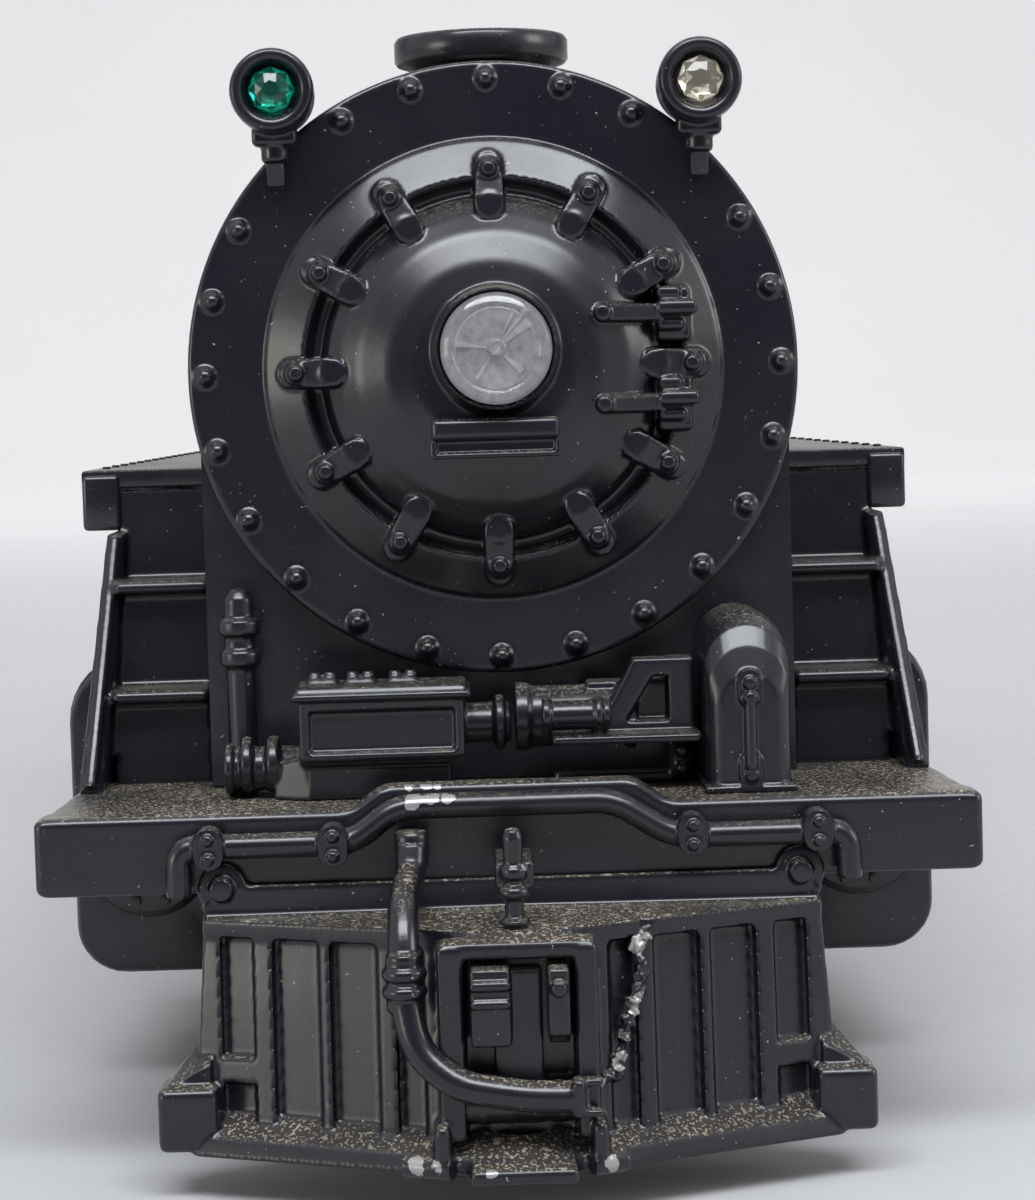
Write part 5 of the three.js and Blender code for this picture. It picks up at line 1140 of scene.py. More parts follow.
CAB_FRONT, CAB_BACK, CAB_ROOF = 222.3, 268, 275
CAB_HALF, CAB_FLOOR, CAB_EAVES, CAB_TOP, CAB_WALL = 29.5, 36, 66, 84, 1.6


def cubic(p0, p1, p2, p3, steps):
    """Points of a curve with four control points, without the first one."""
    points = []
    for i in range(1, steps + 1):
        t = i / steps
        shares = ((1 - t) ** 3, 3 * t * (1 - t) ** 2, 3 * t * t * (1 - t), t ** 3)
        points.append(tuple(sum(s * p[k] for s, p in zip(shares, (p0, p1, p2, p3))) for k in (0, 1)))
    return points


def cab_outline(half, floor_z, top):
    """Cross-section of the cab: straight sides under a round roof."""
    knee = CAB_EAVES + (top - CAB_EAVES) * 0.75
    right = cubic((half, CAB_EAVES), (half, knee), (half * 0.5, top), (0, top), 16)
    left = cubic((0, top), (-half * 0.5, top), (-half, knee), (-half, CAB_EAVES), 16)
    return [(-half, floor_z), (half, floor_z), (half, CAB_EAVES), *right, *left]


def rounded_frame(a0, a1, b0, b1, radius):
    return soften([(a0, b0), (a1, b0), (a1, b1), (a0, b1)], radius, closed=True)


def cab():
    """Cab with openings at the windows and back, then its frames, rivets, grab irons and steps."""
    inside = cab_outline(CAB_HALF - CAB_WALL, CAB_FLOOR + 2, CAB_TOP - CAB_WALL)
    shell = plate("y", cab_outline(CAB_HALF, CAB_FLOOR, CAB_TOP), CAB_FRONT + 1, CAB_ROOF, [inside],
                  bevel=0.25)
    opening = BARREL_R + 0.15
    front_hole = [*arc(0, BOILER_Z, opening, 0, 180, 60), (-opening, 38), (opening, 38)]
    front = plate("y", cab_outline(CAB_HALF, CAB_FLOOR, CAB_TOP), CAB_FRONT, CAB_FRONT + CAB_WALL,
                  [front_hole], bevel=0.25)
    tools = [block(-31, 31, CAB_BACK, CAB_ROOF + 1, 30, CAB_EAVES, 0),
             block(-17, 17, 223.9, 233, 30, 39, 0)]
    for y in (229, 244):
        tools.append(plate("x", rounded_frame(y, y + 11, 52, 64, 1), -31, 31, bevel=0.05))
    shell = cut(shell, *tools)
    panes = [block(sign * 24, sign * 27, 220, 226, 56, 65, 0) for sign in (-1, 1)]
    front = cut(front, *panes)
    lower = block(-22.65, 22.65, CAB_FRONT - 1, CAB_FRONT + 2, 30, 38.2, 0)
    front = cut(front, lower)
    piece("cab_body", [shell, front], CLEAN_PAINT, "cab", angle=30)

    trim = []
    for sign in (-1, 1):
        face = sign * CAB_HALF
        for y in (229, 244):
            trim.append(plate("x", rounded_frame(y - 0.8, y + 11.8, 51.2, 64.8, 1.3), face,
                              face + sign * 0.35, [rounded_frame(y, y + 11, 52, 64, 1)], bevel=0.12))
            trim.append(block(face - sign * 0.9, face - sign * 0.3, y + 5.2, y + 5.8, 52, 64, 0.1))
        trim.append(block(face - sign * 0.1, face + sign * 0.9, 228, 257, 50.2, 51.0, 0.25))
        heads = [(y, z) for z, end in ((37.6, 267), (48.2, 267), (CAB_EAVES, 274))
                 for y in range(225, end, 4)]
        heads += [(y, z) for z in range(41, 66, 4) for y in (224.2, 266.5)]
        trim += [side_head(RIVET_HEAD, sign, CAB_HALF, y, z, 10) for y, z in heads]
        grab = [(sign * 28.9, 267.6, 44), (sign * 28.9, 269.2, 44), (sign * 28.9, 269.2, 60),
                (sign * 28.9, 267.6, 60)]
        trim.append(bar(grab, 0.4, 0.8))
        frame_y = [rounded_frame(sign * 25.5 - 2.1, sign * 25.5 + 2.1, 55.4, 65.6, 0.6),
                   rounded_frame(sign * 25.5 - 1.5, sign * 25.5 + 1.5, 56, 65, 0.4)]
        trim.append(plate("y", frame_y[0], CAB_FRONT - 0.25, CAB_FRONT + 0.1, [frame_y[1]], bevel=0.1))
        for z in (26, 31):
            trim.append(block(sign * 25.5, sign * 29.5, 260.5, 267.5, z, z + 1.2, 0.3))
        for x in (25.6, 28.0):
            trim.append(block(sign * x, sign * (x + 0.9), 263, 267.5, 27, 37, 0.2))
    hatch = plate("z", rounded_frame(-7, 7, 238, 254, 1.2), CAB_TOP - 1.2, CAB_TOP + 0.8, bevel=0.35)
    trim.append(hatch)
    trim += [block(x, x + 0.7, 238.6, 253.4, CAB_TOP + 0.5, CAB_TOP + 1.0, 0.15) for x in (-6.4, 5.7)]
    piece("cab_trim_and_steps", trim, CLEAN_PAINT)


# ------------------------------------------------------------------ running boards

BOARD_FRONT, BOARD_HALF, BOARD_TOP, BOARD_UNDER = 24, 29.5, 45.8, 41.5


def running_board(side, sign):
    """Board with a turned-down edge and an air tank under it."""
    deck = [(20.3, BOARD_FRONT), (BOARD_HALF, BOARD_FRONT), (BOARD_HALF, SHELL_END), (22.7, SHELL_END),
            (22.7, TAPER_END), (20.9, SMOKEBOX_END - 4)]
    shapes = [
        plate("z", deck, BOARD_TOP - 1.3, BOARD_TOP, bevel=0.25),
        block(26.8, BOARD_HALF, BOARD_FRONT - 0.3, BOARD_FRONT + 6, BOARD_UNDER, BOARD_TOP - 0.35, 0.35),
        block(28.2, BOARD_HALF, BOARD_FRONT + 0.3, SHELL_END, BOARD_UNDER, BOARD_TOP - 0.2, 0.3),
    ]
    tank = [(0, 104), (2.2, 104.15), (3.0, 104.9), (3.2, 106), (3.2, 148), (3.0, 149.1), (2.2, 149.85),
            (0, 150)]
    shapes.append(lathe("y", tank, (24.6, 41.5), 48))
    for y in (110, 127, 144):
        shapes.append(lathe("y", [(3.1, y - 0.7), (3.45, y - 0.6), (3.45, y + 0.6), (3.1, y + 0.7),
                                  (3.1, y - 0.7)], (24.6, 41.5), 48))
    for y in range(30, 220, 6):
        shapes.append(pin("z", 0.3, BOARD_TOP - 0.1, BOARD_TOP + 0.18, (28.4, y), 10, 0.1))
    piece(f"running_board_{side}_casting", shapes, PAINT, f"running_board_{side}", angle=30, sign=sign)


# ------------------------------------------------------------------ cylinders and motion

AXLE_Z = 18.8
THROW = 6.5
DRIVER_STATIONS = {"front": 83, "main": 123.5, "rear": 164}
CRANKS = {"right": -90, "left": 180}
PISTON_X = 26.15
CHEST_Z = 26.4


def cylinder_block(side, sign):
    """Cylinder and valve chest in one block, with bolted covers."""
    outline = [(20.7, 9.6), (21.6, 8.6), (28.2, 8.6), *arc(28.2, 12.1, 3.5, -90, 0, 8),
               *arc(26.7, 27, 5, 0, 90, 8), (20.7, 32)]
    bore = circle(PISTON_X, AXLE_Z, 1.45)
    shapes = [plate("y", outline, 29, 54, [bore], bevel=0.5)]
    band = [(26 + (a - 26) * 1.03, 20.3 + (b - 20.3) * 1.02) for a, b in outline]
    for y in (31.2, 51.8):
        shapes.append(plate("y", band, y - 0.9, y + 0.9, [bore], bevel=0.2))
    cover = [(0, -1.1), (1.6, -1.05), (2.0, -0.65), (4.1, -0.6), (4.6, -0.2), (4.6, 1), (0, 1)]
    chest = [(0, -1.1), (1.1, -1.05), (1.4, -0.6), (2.8, -0.5), (3.2, -0.1), (3.2, 1), (0, 1)]
    for profile, z, bolts, ring in ((cover, AXLE_Z - 1.5, 10, 3.5), (chest, CHEST_Z, 6, 2.3)):
        shapes.append(lathe("y", [(r, 29 + y) for r, y in profile], (PISTON_X, z), 56, 0.1))
        for i in range(bolts):
            centre = polar(ring, 360 * i / bolts, (PISTON_X, z))
            shapes.append(pin("y", 0.4, 28.0, 28.9, centre, 6, 0.08))
    rear = [(1.45, 53.5), (4.4, 53.5), (4.6, 54.2), (4.4, 54.9), (2.3, 54.95), (2.2, 55.6), (1.45, 55.6),
            (1.45, 53.5)]
    shapes.append(lathe("y", rear, (PISTON_X, AXLE_Z), 56, 0.1))
    shapes.append(lathe("y", [(0, 53.5), (2.3, 53.5), (2.3, 54.4), (1.4, 54.6), (1.4, 57.8), (0, 58)],
                        (PISTON_X, CHEST_Z), 40, 0.1))
    for i in range(8):
        centre = polar(3.5, 45 * (i + 0.5), (PISTON_X, AXLE_Z))
        shapes.append(pin("y", 0.38, 54.6, 55.2, centre, 6, 0.08))
    piece(f"cylinder_{side}_casting", shapes, PAINT, f"cylinder_{side}", angle=30, sign=sign)


GUIDE_INNER, GUIDE_OUTER, GUIDE_END = 24.9, 27.4, 81
GUIDE_LOW, GUIDE_HIGH = (14.5, 15.9), (21.7, 23.1)


def guides(side, sign):
    """Two slide bars on a hanger."""
    shapes = [block(GUIDE_INNER, GUIDE_OUTER, 55.9, GUIDE_END, z0, z1, 0.2)
              for z0, z1 in (GUIDE_LOW, GUIDE_HIGH)]
    shapes.append(block(GUIDE_INNER, GUIDE_OUTER, GUIDE_END - 1.4, GUIDE_END, GUIDE_LOW[0], 44.2, 0.25))
    shapes.append(block(GUIDE_INNER + 0.2, GUIDE_OUTER + 0.5, GUIDE_END - 2.2, GUIDE_END + 0.3, 30, 32,
                        0.25))
    for z0, z1 in (GUIDE_LOW, GUIDE_HIGH):
        for y in (58.2, 78.4):
            shapes.append(pin("x", 0.55, GUIDE_OUTER - 0.2, GUIDE_OUTER + 0.35, (y, (z0 + z1) / 2), 6, 0.1))
    piece(f"crosshead_guide_{side}_bars", shapes, STEEL, f"crosshead_guide_{side}",
          sign=sign)


MAIN_ROD_LENGTH = 55.5


def crank_pin(station, side):
    """Station and height of a driver's crank pin at rest."""
    return polar(THROW, CRANKS[side], (station, AXLE_Z))


def wrist_station(side):
    """Station of the crosshead's pin at rest."""
    y, z = crank_pin(DRIVER_STATIONS["main"], side)
    return y - math.sqrt(MAIN_ROD_LENGTH ** 2 - (AXLE_Z - z) ** 2)


def crosshead(side, sign):
    """Sliding block with its piston rod."""
    y = wrist_station(side)
    low, high = GUIDE_LOW[1] + 0.3, GUIDE_HIGH[0] - 0.3
    outline = [(y - 4.5, low), (y + 4.5, low), (y + 4.5, 17.4), (y + 3, AXLE_Z), (y + 4.5, 20.2),
               (y + 4.5, high), (y - 4.5, high)]
    inner, outer = GUIDE_INNER + 0.1, GUIDE_OUTER - 0.1
    shapes = [plate("x", outline, inner, outer, bevel=0.25, rounding=0.4)]
    shapes.append(lathe("x", [(0, outer - 0.3), (1.55, outer - 0.3), (1.5, outer + 0.5), (0.9, outer + 0.8),
                              (0, outer + 0.8)], (y, AXLE_Z), 32, 0.12))
    shapes.append(pin("y", 1.1, y - 22, y - 4, (PISTON_X, AXLE_Z), 32, 0.2))
    shapes.append(lathe("y", [(0, y - 5.7), (1.6, y - 5.5), (1.75, y - 4.3), (0, y - 4.3)],
                        (PISTON_X, AXLE_Z), 32))
    piece(f"crosshead_{side}_block", shapes, STEEL, f"crosshead_{side}", f"crosshead_{side}",
          sign=sign)


def rod_outline(length, big, small, half_web, steps=24):
    """A rod lying along the first axis: a big end at 0 and a small end at minus its length."""
    big_gap = math.degrees(math.asin(half_web / big))
    small_gap = math.degrees(math.asin(half_web / small))
    return arc(0, 0, big, -180 + big_gap, 180 - big_gap, steps) + \
        arc(-length, 0, small, small_gap, 360 - small_gap, steps)


def main_rod(side, sign):
    """Fluted rod from the crosshead to the main driver."""
    x0, x1 = 23.1, 24.3
    holes = [circle(0, 0, 1.62), circle(-MAIN_ROD_LENGTH, 0, 0.9)]
    rod = plate("x", rod_outline(MAIN_ROD_LENGTH, 3.4, 2.4, 1.35), x0, x1, holes, bevel=0.16)
    flute = plate("x", [(-50, -0.55), (-6, -0.75), (-6, 0.75), (-50, 0.55)], x1 - 0.35, x1 + 1, bevel=0.02,
                  rounding=0.5)
    rod = cut(rod, flute)
    strap = [lathe("x", [(1.64, x1 - 0.2), (2.5, x1 - 0.2), (2.4, x1 + 0.12), (1.64, x1 + 0.12),
                         (1.64, x1 - 0.2)], (0, 0), 40),
             block(x1 - 0.2, x1 + 0.15, -4.6, -3.9, -0.9, 0.9, 0.1)]
    y, z = crank_pin(DRIVER_STATIONS["main"], side)
    lean = math.asin((AXLE_Z - z) / MAIN_ROD_LENGTH)
    whole = moved(joined([rod, *strap]), Matrix.Translation((0, y, z)) @ Matrix.Rotation(-lean, 4, "X"))
    piece(f"main_rod_{side}_bar", [whole], STEEL, f"main_rod_{side}", f"main_rod_{side}",
          sign=sign)


def side_rod(side, sign):
    """Fluted rod that joins the three drivers, with oil cups."""
    x0, x1 = 20.6, 21.9
    pins = [crank_pin(y, side) for y in DRIVER_STATIONS.values()]
    z = pins[0][1]
    first, middle, last = (y for y, _ in pins)
    half = 26
    path = arc(first, z, 3, 360 - half, half, 26)
    path += arc(middle, z, 3, 180 - half, half, 12)
    path += arc(last, z, 3, 180 - half, -180 + half, 26)
    path += arc(middle, z, 3, -half, -180 + half, 12)
    holes = [circle(y, z, 1.62) for y, _ in pins]
    rod = plate("x", path, x0, x1, holes, bevel=0.16)
    flutes = [plate("x", [(a + 5, z - 0.65), (b - 5, z - 0.65), (b - 5, z + 0.65), (a + 5, z + 0.65)],
                    x1 - 0.35, x1 + 1, bevel=0.02, rounding=0.5)
              for a, b in ((first, middle), (middle, last))]
    rod = cut(rod, *flutes)
    cups = [pin("z", 0.5, z + 2.7, z + 3.5, ((x0 + x1) / 2, y), 20, 0.12) for y, _ in pins]
    piece(f"side_rod_{side}_bar", [rod, *cups], STEEL, f"side_rod_{side}", f"side_rod_{side}",
          sign=sign)


# ------------------------------------------------------------------ wheels

BACK = 14.1
SPOKES = 12


def tyre(tread, flange, outer, rim):
    """Turned tyre with a flange at the back; drawn for the left side, about the X axis."""
    profile = [(rim, BACK), (flange - 0.35, BACK), (flange, BACK + 0.3), (flange - 0.1, BACK + 0.75),
               (tread + 0.35, BACK + 1.15), (tread, BACK + 1.5), (tread - 0.15, outer - 0.3),
               (tread - 0.4, outer), (rim, outer), (rim, BACK)]
    return lathe("x", profile, (0, 0), 128)


def driver_centre(crank):
    """Spoked centre with a counterweight opposite the crank."""
    hub, rim, front = 4.2, 14.35, 18.5
    shapes = [lathe("x", [(rim - 1.1, BACK + 0.5), (rim, BACK + 0.5), (rim, front),
                          (rim - 1.1, front - 0.2), (rim - 1.1, BACK + 0.5)], (0, 0), 96)]
    shapes.append(lathe("x", [(0, BACK), (hub, BACK), (hub, 19.3), (hub - 0.5, 19.8), (2.2, 19.8),
                              (2.0, 19.5), (0, 19.5)], (0, 0), 64))
    for i in range(SPOKES):
        spoke = hull([(x, y, z) for x, y, half in ((BACK + 1.4, 3.6, 0.85), (18.6, 3.6, 0.7),
                                                   (BACK + 1.4, 13.6, 0.7), (18.2, 13.6, 0.45))
                      for z in (-half, half)], 0.15)
        shapes.append(moved(spoke, Matrix.Rotation(2 * math.pi * i / SPOKES, 4, "X")))
    away = crank + 180
    weight = [polar(13.7, away + t) for t in range(-36, 37, 4)]
    weight += [polar(7.4, away + t) for t in range(36, -37, -12)]
    shapes.append(plate("x", weight, BACK + 1.4, 18.7, bevel=0.2))
    centre = polar(THROW, crank)
    shapes.append(lathe("x", [(0, BACK + 1.4), (2.9, BACK + 1.4), (2.7, 19.9), (2.3, 20.1), (0, 20.1)],
                        centre, 48))
    shapes.append(hull([(x, *polar(radius, 20 * k, middle)) for x in (BACK + 1.4, 19.6)
                        for middle, radius in (((0, 0), 3.6), (centre, 2.6)) for k in range(18)]))
    return cast(shapes, 0.22, 2)


def driver(name):
    """A pair of spoked drivers on their axle, with crank pins."""
    station = DRIVER_STATIONS[name]
    node = f"driver_{name}"
    head = 24.6 if name == "main" else 22.2
    centres, bright, pins = [], [], []
    for side, sign in SIDES:
        crank = CRANKS[side]
        centres.append(mirror_x(driver_centre(crank), sign))
        bright.append(mirror_x(tyre(17.4, 18.8, 19.4, 14.2), sign))
        place = polar(THROW, crank)
        pins.append(mirror_x(pin("x", 1.2, 19.4, head + 0.3, place, 32, 0.1), sign))
        nut = pin("x", 2.1, head, head + 0.6, place, 6, 0.12)
        cap = pin("x", 1.2, head + 0.4, head + 0.85, place, 24, 0.15)
        pins += [mirror_x(nut, sign), mirror_x(cap, sign)]
    pins.append(pin("x", 2.0, -BACK - 0.5, BACK + 0.5, (0, 0), 40, 0.1))
    if name == "main":
        pins.append(gear_wheel(AXLE_TEETH, IDLER_ANGLE))
    to_axle = Matrix.Translation((0, station, AXLE_Z))
    piece(f"{node}_centres", [moved(joined(centres), to_axle)], WHEEL_PAINT, node, node)
    piece(f"{node}_tyres", [moved(joined(bright), to_axle)], TYRE_STEEL, None, node,
          angle=25)
    piece(f"{node}_axle_and_pins", [moved(joined(pins), to_axle)], STEEL, None, node)


GEAR_MODULE = 0.75
AXLE_TEETH = 32
IDLER_ANGLE = 62


def gear_wheel(teeth, first):
    """Spur gear on the X axis whose first tooth points along an angle."""
    pitch_r = GEAR_MODULE * teeth / 2
    root, tip = pitch_r - 1.15 * GEAR_MODULE, pitch_r + 0.85 * GEAR_MODULE
    pitch = 360 / teeth
    points = []
    for i in range(teeth):
        for radius, share in ((root, -0.3), (tip, -0.1), (tip, 0.1), (root, 0.3)):
            points.append(polar(radius, first + (i + share) * pitch))
    return plate("x", points, 6.6, 9.4, bevel=0.06)


TRUCK_STATIONS = {"lead": (24, 50), "trailing": (205, 231)}
# Tread and flange radius, outer face of the tyre and end of the axle.
TRUCK_WHEELS = {"lead": (8.25, 9.45, 17.9, 14.5), "trailing": (9, 10.2, 18.3, 21.6)}


def truck_wheels(name, station, tread, flange, outer, axle_end):
    """Turned disc wheels pressed on one axle."""
    steel, black = [], []
    for sign in (-1, 1):
        steel.append(mirror_x(tyre(tread, flange, outer, tread - 1.9), sign))
        web = [(0, BACK), (tread - 1.7, BACK), (tread - 1.7, outer - 0.15), (tread - 2.3, outer - 0.7),
               (tread - 3.0, outer - 1.5), (3.4, outer - 1.3), (2.9, outer - 0.5), (2.2, outer - 0.3),
               (0, outer - 0.3)]
        black.append(mirror_x(lathe("x", web, (0, 0), 80, 0.15), sign))
    axle = lathe("x", [(0, -axle_end), (0.5, -axle_end), (1.5, -axle_end + 0.6), (1.5, axle_end - 0.6),
                       (0.5, axle_end), (0, axle_end)], (0, 0), 40)
    place = Matrix.Translation((0, station, flange))
    piece(f"{name}_discs", [moved(joined(black), place)], WHEEL_PAINT, name, name)
    piece(f"{name}_tyres", [moved(joined(steel + [axle]), place)], TYRE_STEEL, None, name,
          angle=25)


# ------------------------------------------------------------------ trucks

def lead_truck():
    """Inside bar frame with bearing bosses and a bridge over its pivot."""
    pivot = 37
    front, rear = TRUCK_STATIONS["lead"]
    axle_z = TRUCK_WHEELS["lead"][1]
    shapes = []
    for sign in (-1, 1):
        outline = [(front - 4, 7.2), (front - 3.2, 6.4), (rear + 3.2, 6.4), (rear + 4, 7.2),
                   (rear + 4, 12.2), (rear + 3.2, 13), (front - 3.2, 13), (front - 4, 12.2)]
        side = plate("x", outline, sign * 10.5, sign * 12.6,
                     [circle(front, axle_z, 1.95), circle(rear, axle_z, 1.95)], bevel=0.25)
        shapes.append(side)
        for y in (front, rear):
            boss = lathe("x", [(1.95, 12.4), (3.0, 12.4), (2.8, 12.9), (1.95, 12.9), (1.95, 12.4)],
                         (y, axle_z), 40)
            shapes.append(mirror_x(boss, sign))
        shapes.append(block(sign * 10.4, sign * 12.7, pivot - 5.2, pivot + 5.2, 12.4, 16, 0.3))
    bridge = plate("z", [(-12.6, pivot - 5), (12.6, pivot - 5), (12.6, pivot + 5), (-12.6, pivot + 5)], 14,
                   16, [circle(0, pivot, 2.1)], bevel=0.25)
    shapes.append(bridge)
    for y in (front - 3.2, rear + 1.4):
        shapes.append(block(-12, 12, y, y + 1.8, 10.9, 12.9, 0.25))
    piece("lead_truck_frame", shapes, FRAME_PAINT, "lead_truck", "lead_truck")


def trailing_truck():
    """Outside frame with axle boxes, leaf springs and a tongue to its pivot."""
    pivot = 188
    front, rear = TRUCK_STATIONS["trailing"]
    axle_z = TRUCK_WHEELS["trailing"][1]
    middle = (front + rear) / 2
    shapes = []
    for sign in (-1, 1):
        outline = [(front - 8, 9), (front - 5, 6.4), (rear + 5, 6.4), (rear + 13.4, 12), (rear + 13.4, 16),
                   (rear + 4, 17), (front - 4, 17), (front - 8, 14)]
        window = [(middle - 7, 8.6), (middle + 7, 8.6), (middle + 5, 12), (middle - 5, 12)]
        bearing = [circle(y, axle_z, 1.95) for y in (front, rear)]
        shapes.append(plate("x", outline, sign * 20.3, sign * 22.2, [window, *bearing], bevel=0.25,
                            rounding=0.6))
        shapes.append(plate("x", outline, sign * 22.2, sign * 23.3, [window], bevel=0.35, rounding=0.6))
        for y in (front, rear):
            shapes.append(block(sign * 23, sign * 24.2, y - 2.6, y + 2.6, axle_z - 3, axle_z + 3.2, 0.4))
            shapes.append(pin("x", 1.5, sign * 24, sign * 24.45, (y, axle_z), 32, 0.15))
            for dy, dz in ((-1.9, -2.2), (1.9, -2.2), (-1.9, 2.4), (1.9, 2.4)):
                shapes.append(pin("x", 0.35, sign * 24, sign * 24.5, (y + dy, axle_z + dz), 6, 0.08))
        for leaf in range(4):
            reach = 6.6 - leaf * 1.3
            z = 13.1 + leaf * 0.75
            arch = [(middle - reach, z + 0.1), (middle, z + 0.75), (middle + reach, z + 0.1),
                    (middle + reach, z - 0.4), (middle, z + 0.2), (middle - reach, z - 0.4)]
            shapes.append(plate("x", arch, sign * 23.2, sign * 24.2, bevel=0.1))
        shapes.append(block(sign * 23.1, sign * 24.4, middle - 1, middle + 1, 12.6, 16.8, 0.25))
    shapes += [block(-22.3, 22.3, middle - 1.5, middle + 1.5, 13, 20, 0.3),
               block(-22.3, 22.3, rear + 11.4, rear + 13.4, 13, 16, 0.3),
               block(-4.5, 4.5, middle - 1.5, middle + 1.5, 19, 21, 0.2)]
    tongue = plate("z", soften([(-4.5, pivot - 4.5), (4.5, pivot - 4.5), (4.5, middle + 1.5),
                                (-4.5, middle + 1.5)], 2, closed=True), 20.4, 22.6, [circle(0, pivot, 2.1)],
                   bevel=0.25)
    shapes.append(tongue)
    piece("trailing_truck_frame", shapes, FRAME_PAINT, "trailing_truck", "trailing_truck")


def pickup_rollers():
    """Two turned rollers that touch the middle rail."""
    for name, y in (("front", 97), ("rear", 150)):
        node = f"pickup_roller_{name}"
        profile = [(0, -5), (0.6, -5), (0.7, -4.8), (0.7, -3), (2.9, -3), (3.2, -2.7), (3.1, 0), (3.2, 2.7),
                   (2.9, 3), (0.7, 3), (0.7, 4.8), (0.6, 5), (0, 5)]
        piece(f"{node}_turned", [lathe("x", profile, (y, 4.5), 64)], STEEL, node, node)


# ------------------------------------------------------------------ inner parts that keep their CAD shape

def dress(node, material, edge):
    """Gives a CAD node its finish and takes the sharpness off its edges."""
    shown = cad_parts[node]
    shown.data.materials.clear()
    shown.data.materials.append(material)
    bevel = shown.modifiers.new("worn_edges", "BEVEL")
    bevel.width = edge * MM
    bevel.segments = 2
    bevel.limit_method = "ANGLE"
    bevel.angle_limit = math.radians(40)
    bevel.harden_normals = False


def inner_parts():
    """Finishes for the pieces that show as they are in CAD."""
    for node, material, edge in (
            ("main_frame", FRAME_PAINT, 0.2), ("smoke_unit", TIN, 0.15), ("motor_field", IRON, 0.15),
            ("pickup_plate", BOARD, 0.1), ("reverse_unit", BOARD, 0.15), ("armature", COPPER, 0.08),
            ("idler_gear", BRASS, 0.05), ("reverse_lever", STEEL, 0.12), ("drawbar", STEEL, 0.2),
            ("headlight_bulb", BULB, 0.1)):
        dress(node, material, edge)


# ------------------------------------------------------------------ camera, floor and light

# The lens stands about 190 mm in front of the pilot beam, at the height of the boiler's middle.
EYE = (-2.9, -190.0, 49.5)
EYE_YAW = -1.15
EYE_PITCH = -3.71
EYE_ROLL = -1.68
LENS_LENGTH = 89.5


def camera():
    """Camera at the eye's place and turn."""
    data = bpy.data.cameras.new("camera")
    data.lens = LENS_LENGTH
    data.sensor_width = 36
    data.clip_start = 0.01
    eye = link(bpy.data.objects.new("camera", data))
    turn = Matrix.Rotation(math.radians(EYE_YAW), 4, "Z") \
        @ Matrix.Rotation(math.radians(90 + EYE_PITCH), 4, "X") \
        @ Matrix.Rotation(math.radians(EYE_ROLL), 4, "Z")
    eye.matrix_world = Matrix.Translation(TO_FRAME @ Vector(EYE)) @ turn
    bpy.context.scene.camera = eye


# Stations of the floor sheet, in metres.
SHEET_FRONT = -0.42
SHEET_BEND = 1.6


def floor():
    """A pale sheet that starts just in front of the camera and is swept up far behind the engine."""
    bm = bmesh.new()
    section = [(SHEET_FRONT, 0), (SHEET_BEND, 0), *arc(SHEET_BEND, 1.4, 1.4, -80, -10, 7), (3.1, 3.0)]
    rows = [[bm.verts.new((x, y, z)) for x in (-6, 6)] for y, z in section]
    for low, high in zip(rows, rows[1:]):
        bm.faces.new((low[0], low[1], high[1], high[0]))
    sheet = from_bmesh(bm)
    sheet.name = "studio_floor"
    sheet.data.shade_smooth()
    sheet.data.materials.append(studio_floor("studio_floor"))


def softbox(name, place, target, size, power, colour=(1, 1, 1)):
    """A rectangular lamp aimed at a point, all in metres."""
    data = bpy.data.lights.new(name, "AREA")
    data.shape = "RECTANGLE"
    data.size, data.size_y = size
    data.energy = power
    data.color = colour
    lamp = link(bpy.data.objects.new(name, data))
    lamp.location = place
    lamp.rotation_euler = (Vector(target) - Vector(place)).to_track_quat("-Z", "Y").to_euler()


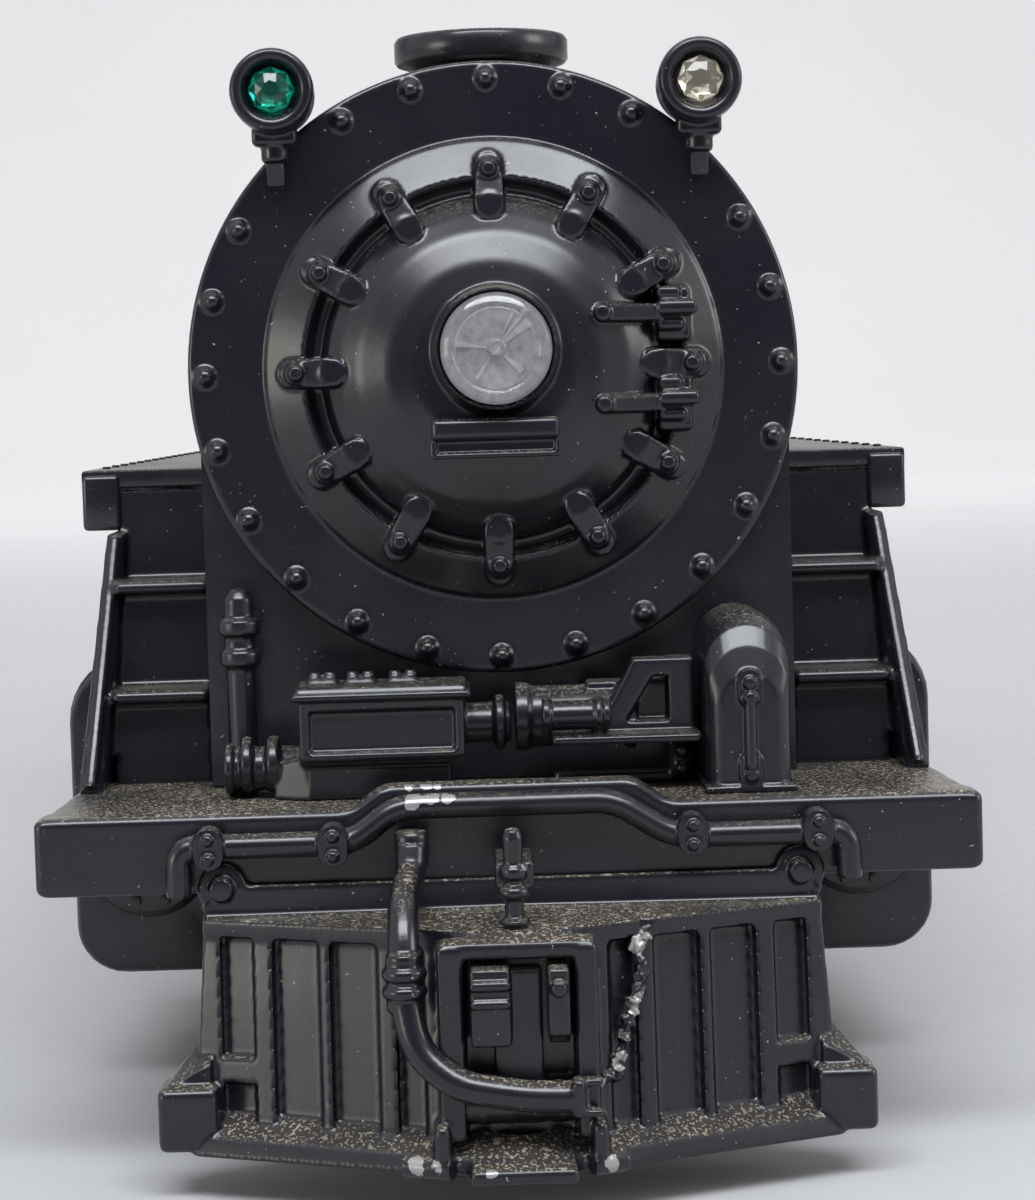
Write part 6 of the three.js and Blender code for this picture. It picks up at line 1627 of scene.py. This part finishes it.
def light():
    """A wide window high in front, weaker lights at the sides, a lit backdrop and a dark room in front."""
    softbox("window_light", (0.0, -0.56, 0.70), (0, -0.13, 0.05), (0.85, 0.24), 9.0, (0.92, 0.96, 1))
    softbox("left_light", (-0.6, -0.47, 0.1), (0, -0.13, 0.05), (0.25, 0.2), 0.7, (1, 0.95, 0.84))
    softbox("right_light", (0.75, -0.3, 0.3), (0, -0.13, 0.05), (0.3, 0.3), 1.4, (1, 0.98, 0.95))
    softbox("backdrop_light", (0, 1.0, 1.6), (0, 2.7, 0.3), (2.4, 0.8), 62)
    world = bpy.data.worlds.new("studio")
    world.use_nodes = True
    bpy.context.scene.world = world
    bpy.context.scene.view_settings.view_transform = "Standard"
    tree = world.node_tree
    shade = tree.nodes["Background"]
    split = tree.nodes.new("ShaderNodeSeparateXYZ")
    tree.links.new(tree.nodes.new("ShaderNodeTexCoord").outputs["Generated"], split.inputs[0])
    ramp = tree.nodes.new("ShaderNodeMapRange")
    ramp.inputs["From Min"].default_value = -0.9
    ramp.inputs["From Max"].default_value = -0.5
    tree.links.new(split.outputs["Y"], ramp.inputs["Value"])
    mix = tree.nodes.new("ShaderNodeMix")
    mix.data_type = "RGBA"
    tree.links.new(ramp.outputs["Result"], mix.inputs["Factor"])
    mix.inputs[6].default_value = (0.16, 0.148, 0.185, 1)
    mix.inputs[7].default_value = (0.82, 0.83, 0.86, 1)
    tree.links.new(mix.outputs[2], shade.inputs["Color"])
    shade.inputs["Strength"].default_value = 0.9


# ------------------------------------------------------------------ making

camera()
floor()
light()
smokebox_front()
headlight()
number_plate()
pilot_beam()
pilot()
torn_lip()
front_coupler()
lift_pin()
cut_lever()
air_hose()
feedwater_pump()
pump_bracket()
pump_shield()
boiler()
backhead()
stack()
domes()
bell()
cab()
for side, sign in SIDES:
    marker_lamp(side, sign)
    front_steps(side, sign)
    handrail(side, sign)
    running_board(side, sign)
    cylinder_block(side, sign)
    guides(side, sign)
    crosshead(side, sign)
    main_rod(side, sign)
    side_rod(side, sign)
for name in DRIVER_STATIONS:
    driver(name)
for truck, stations in TRUCK_STATIONS.items():
    for end, station in zip(("front", "rear"), stations):
        truck_wheels(f"{truck}_wheels_{end}", station, *TRUCK_WHEELS[truck])
lead_truck()
trailing_truck()
pickup_rollers()
inner_parts()
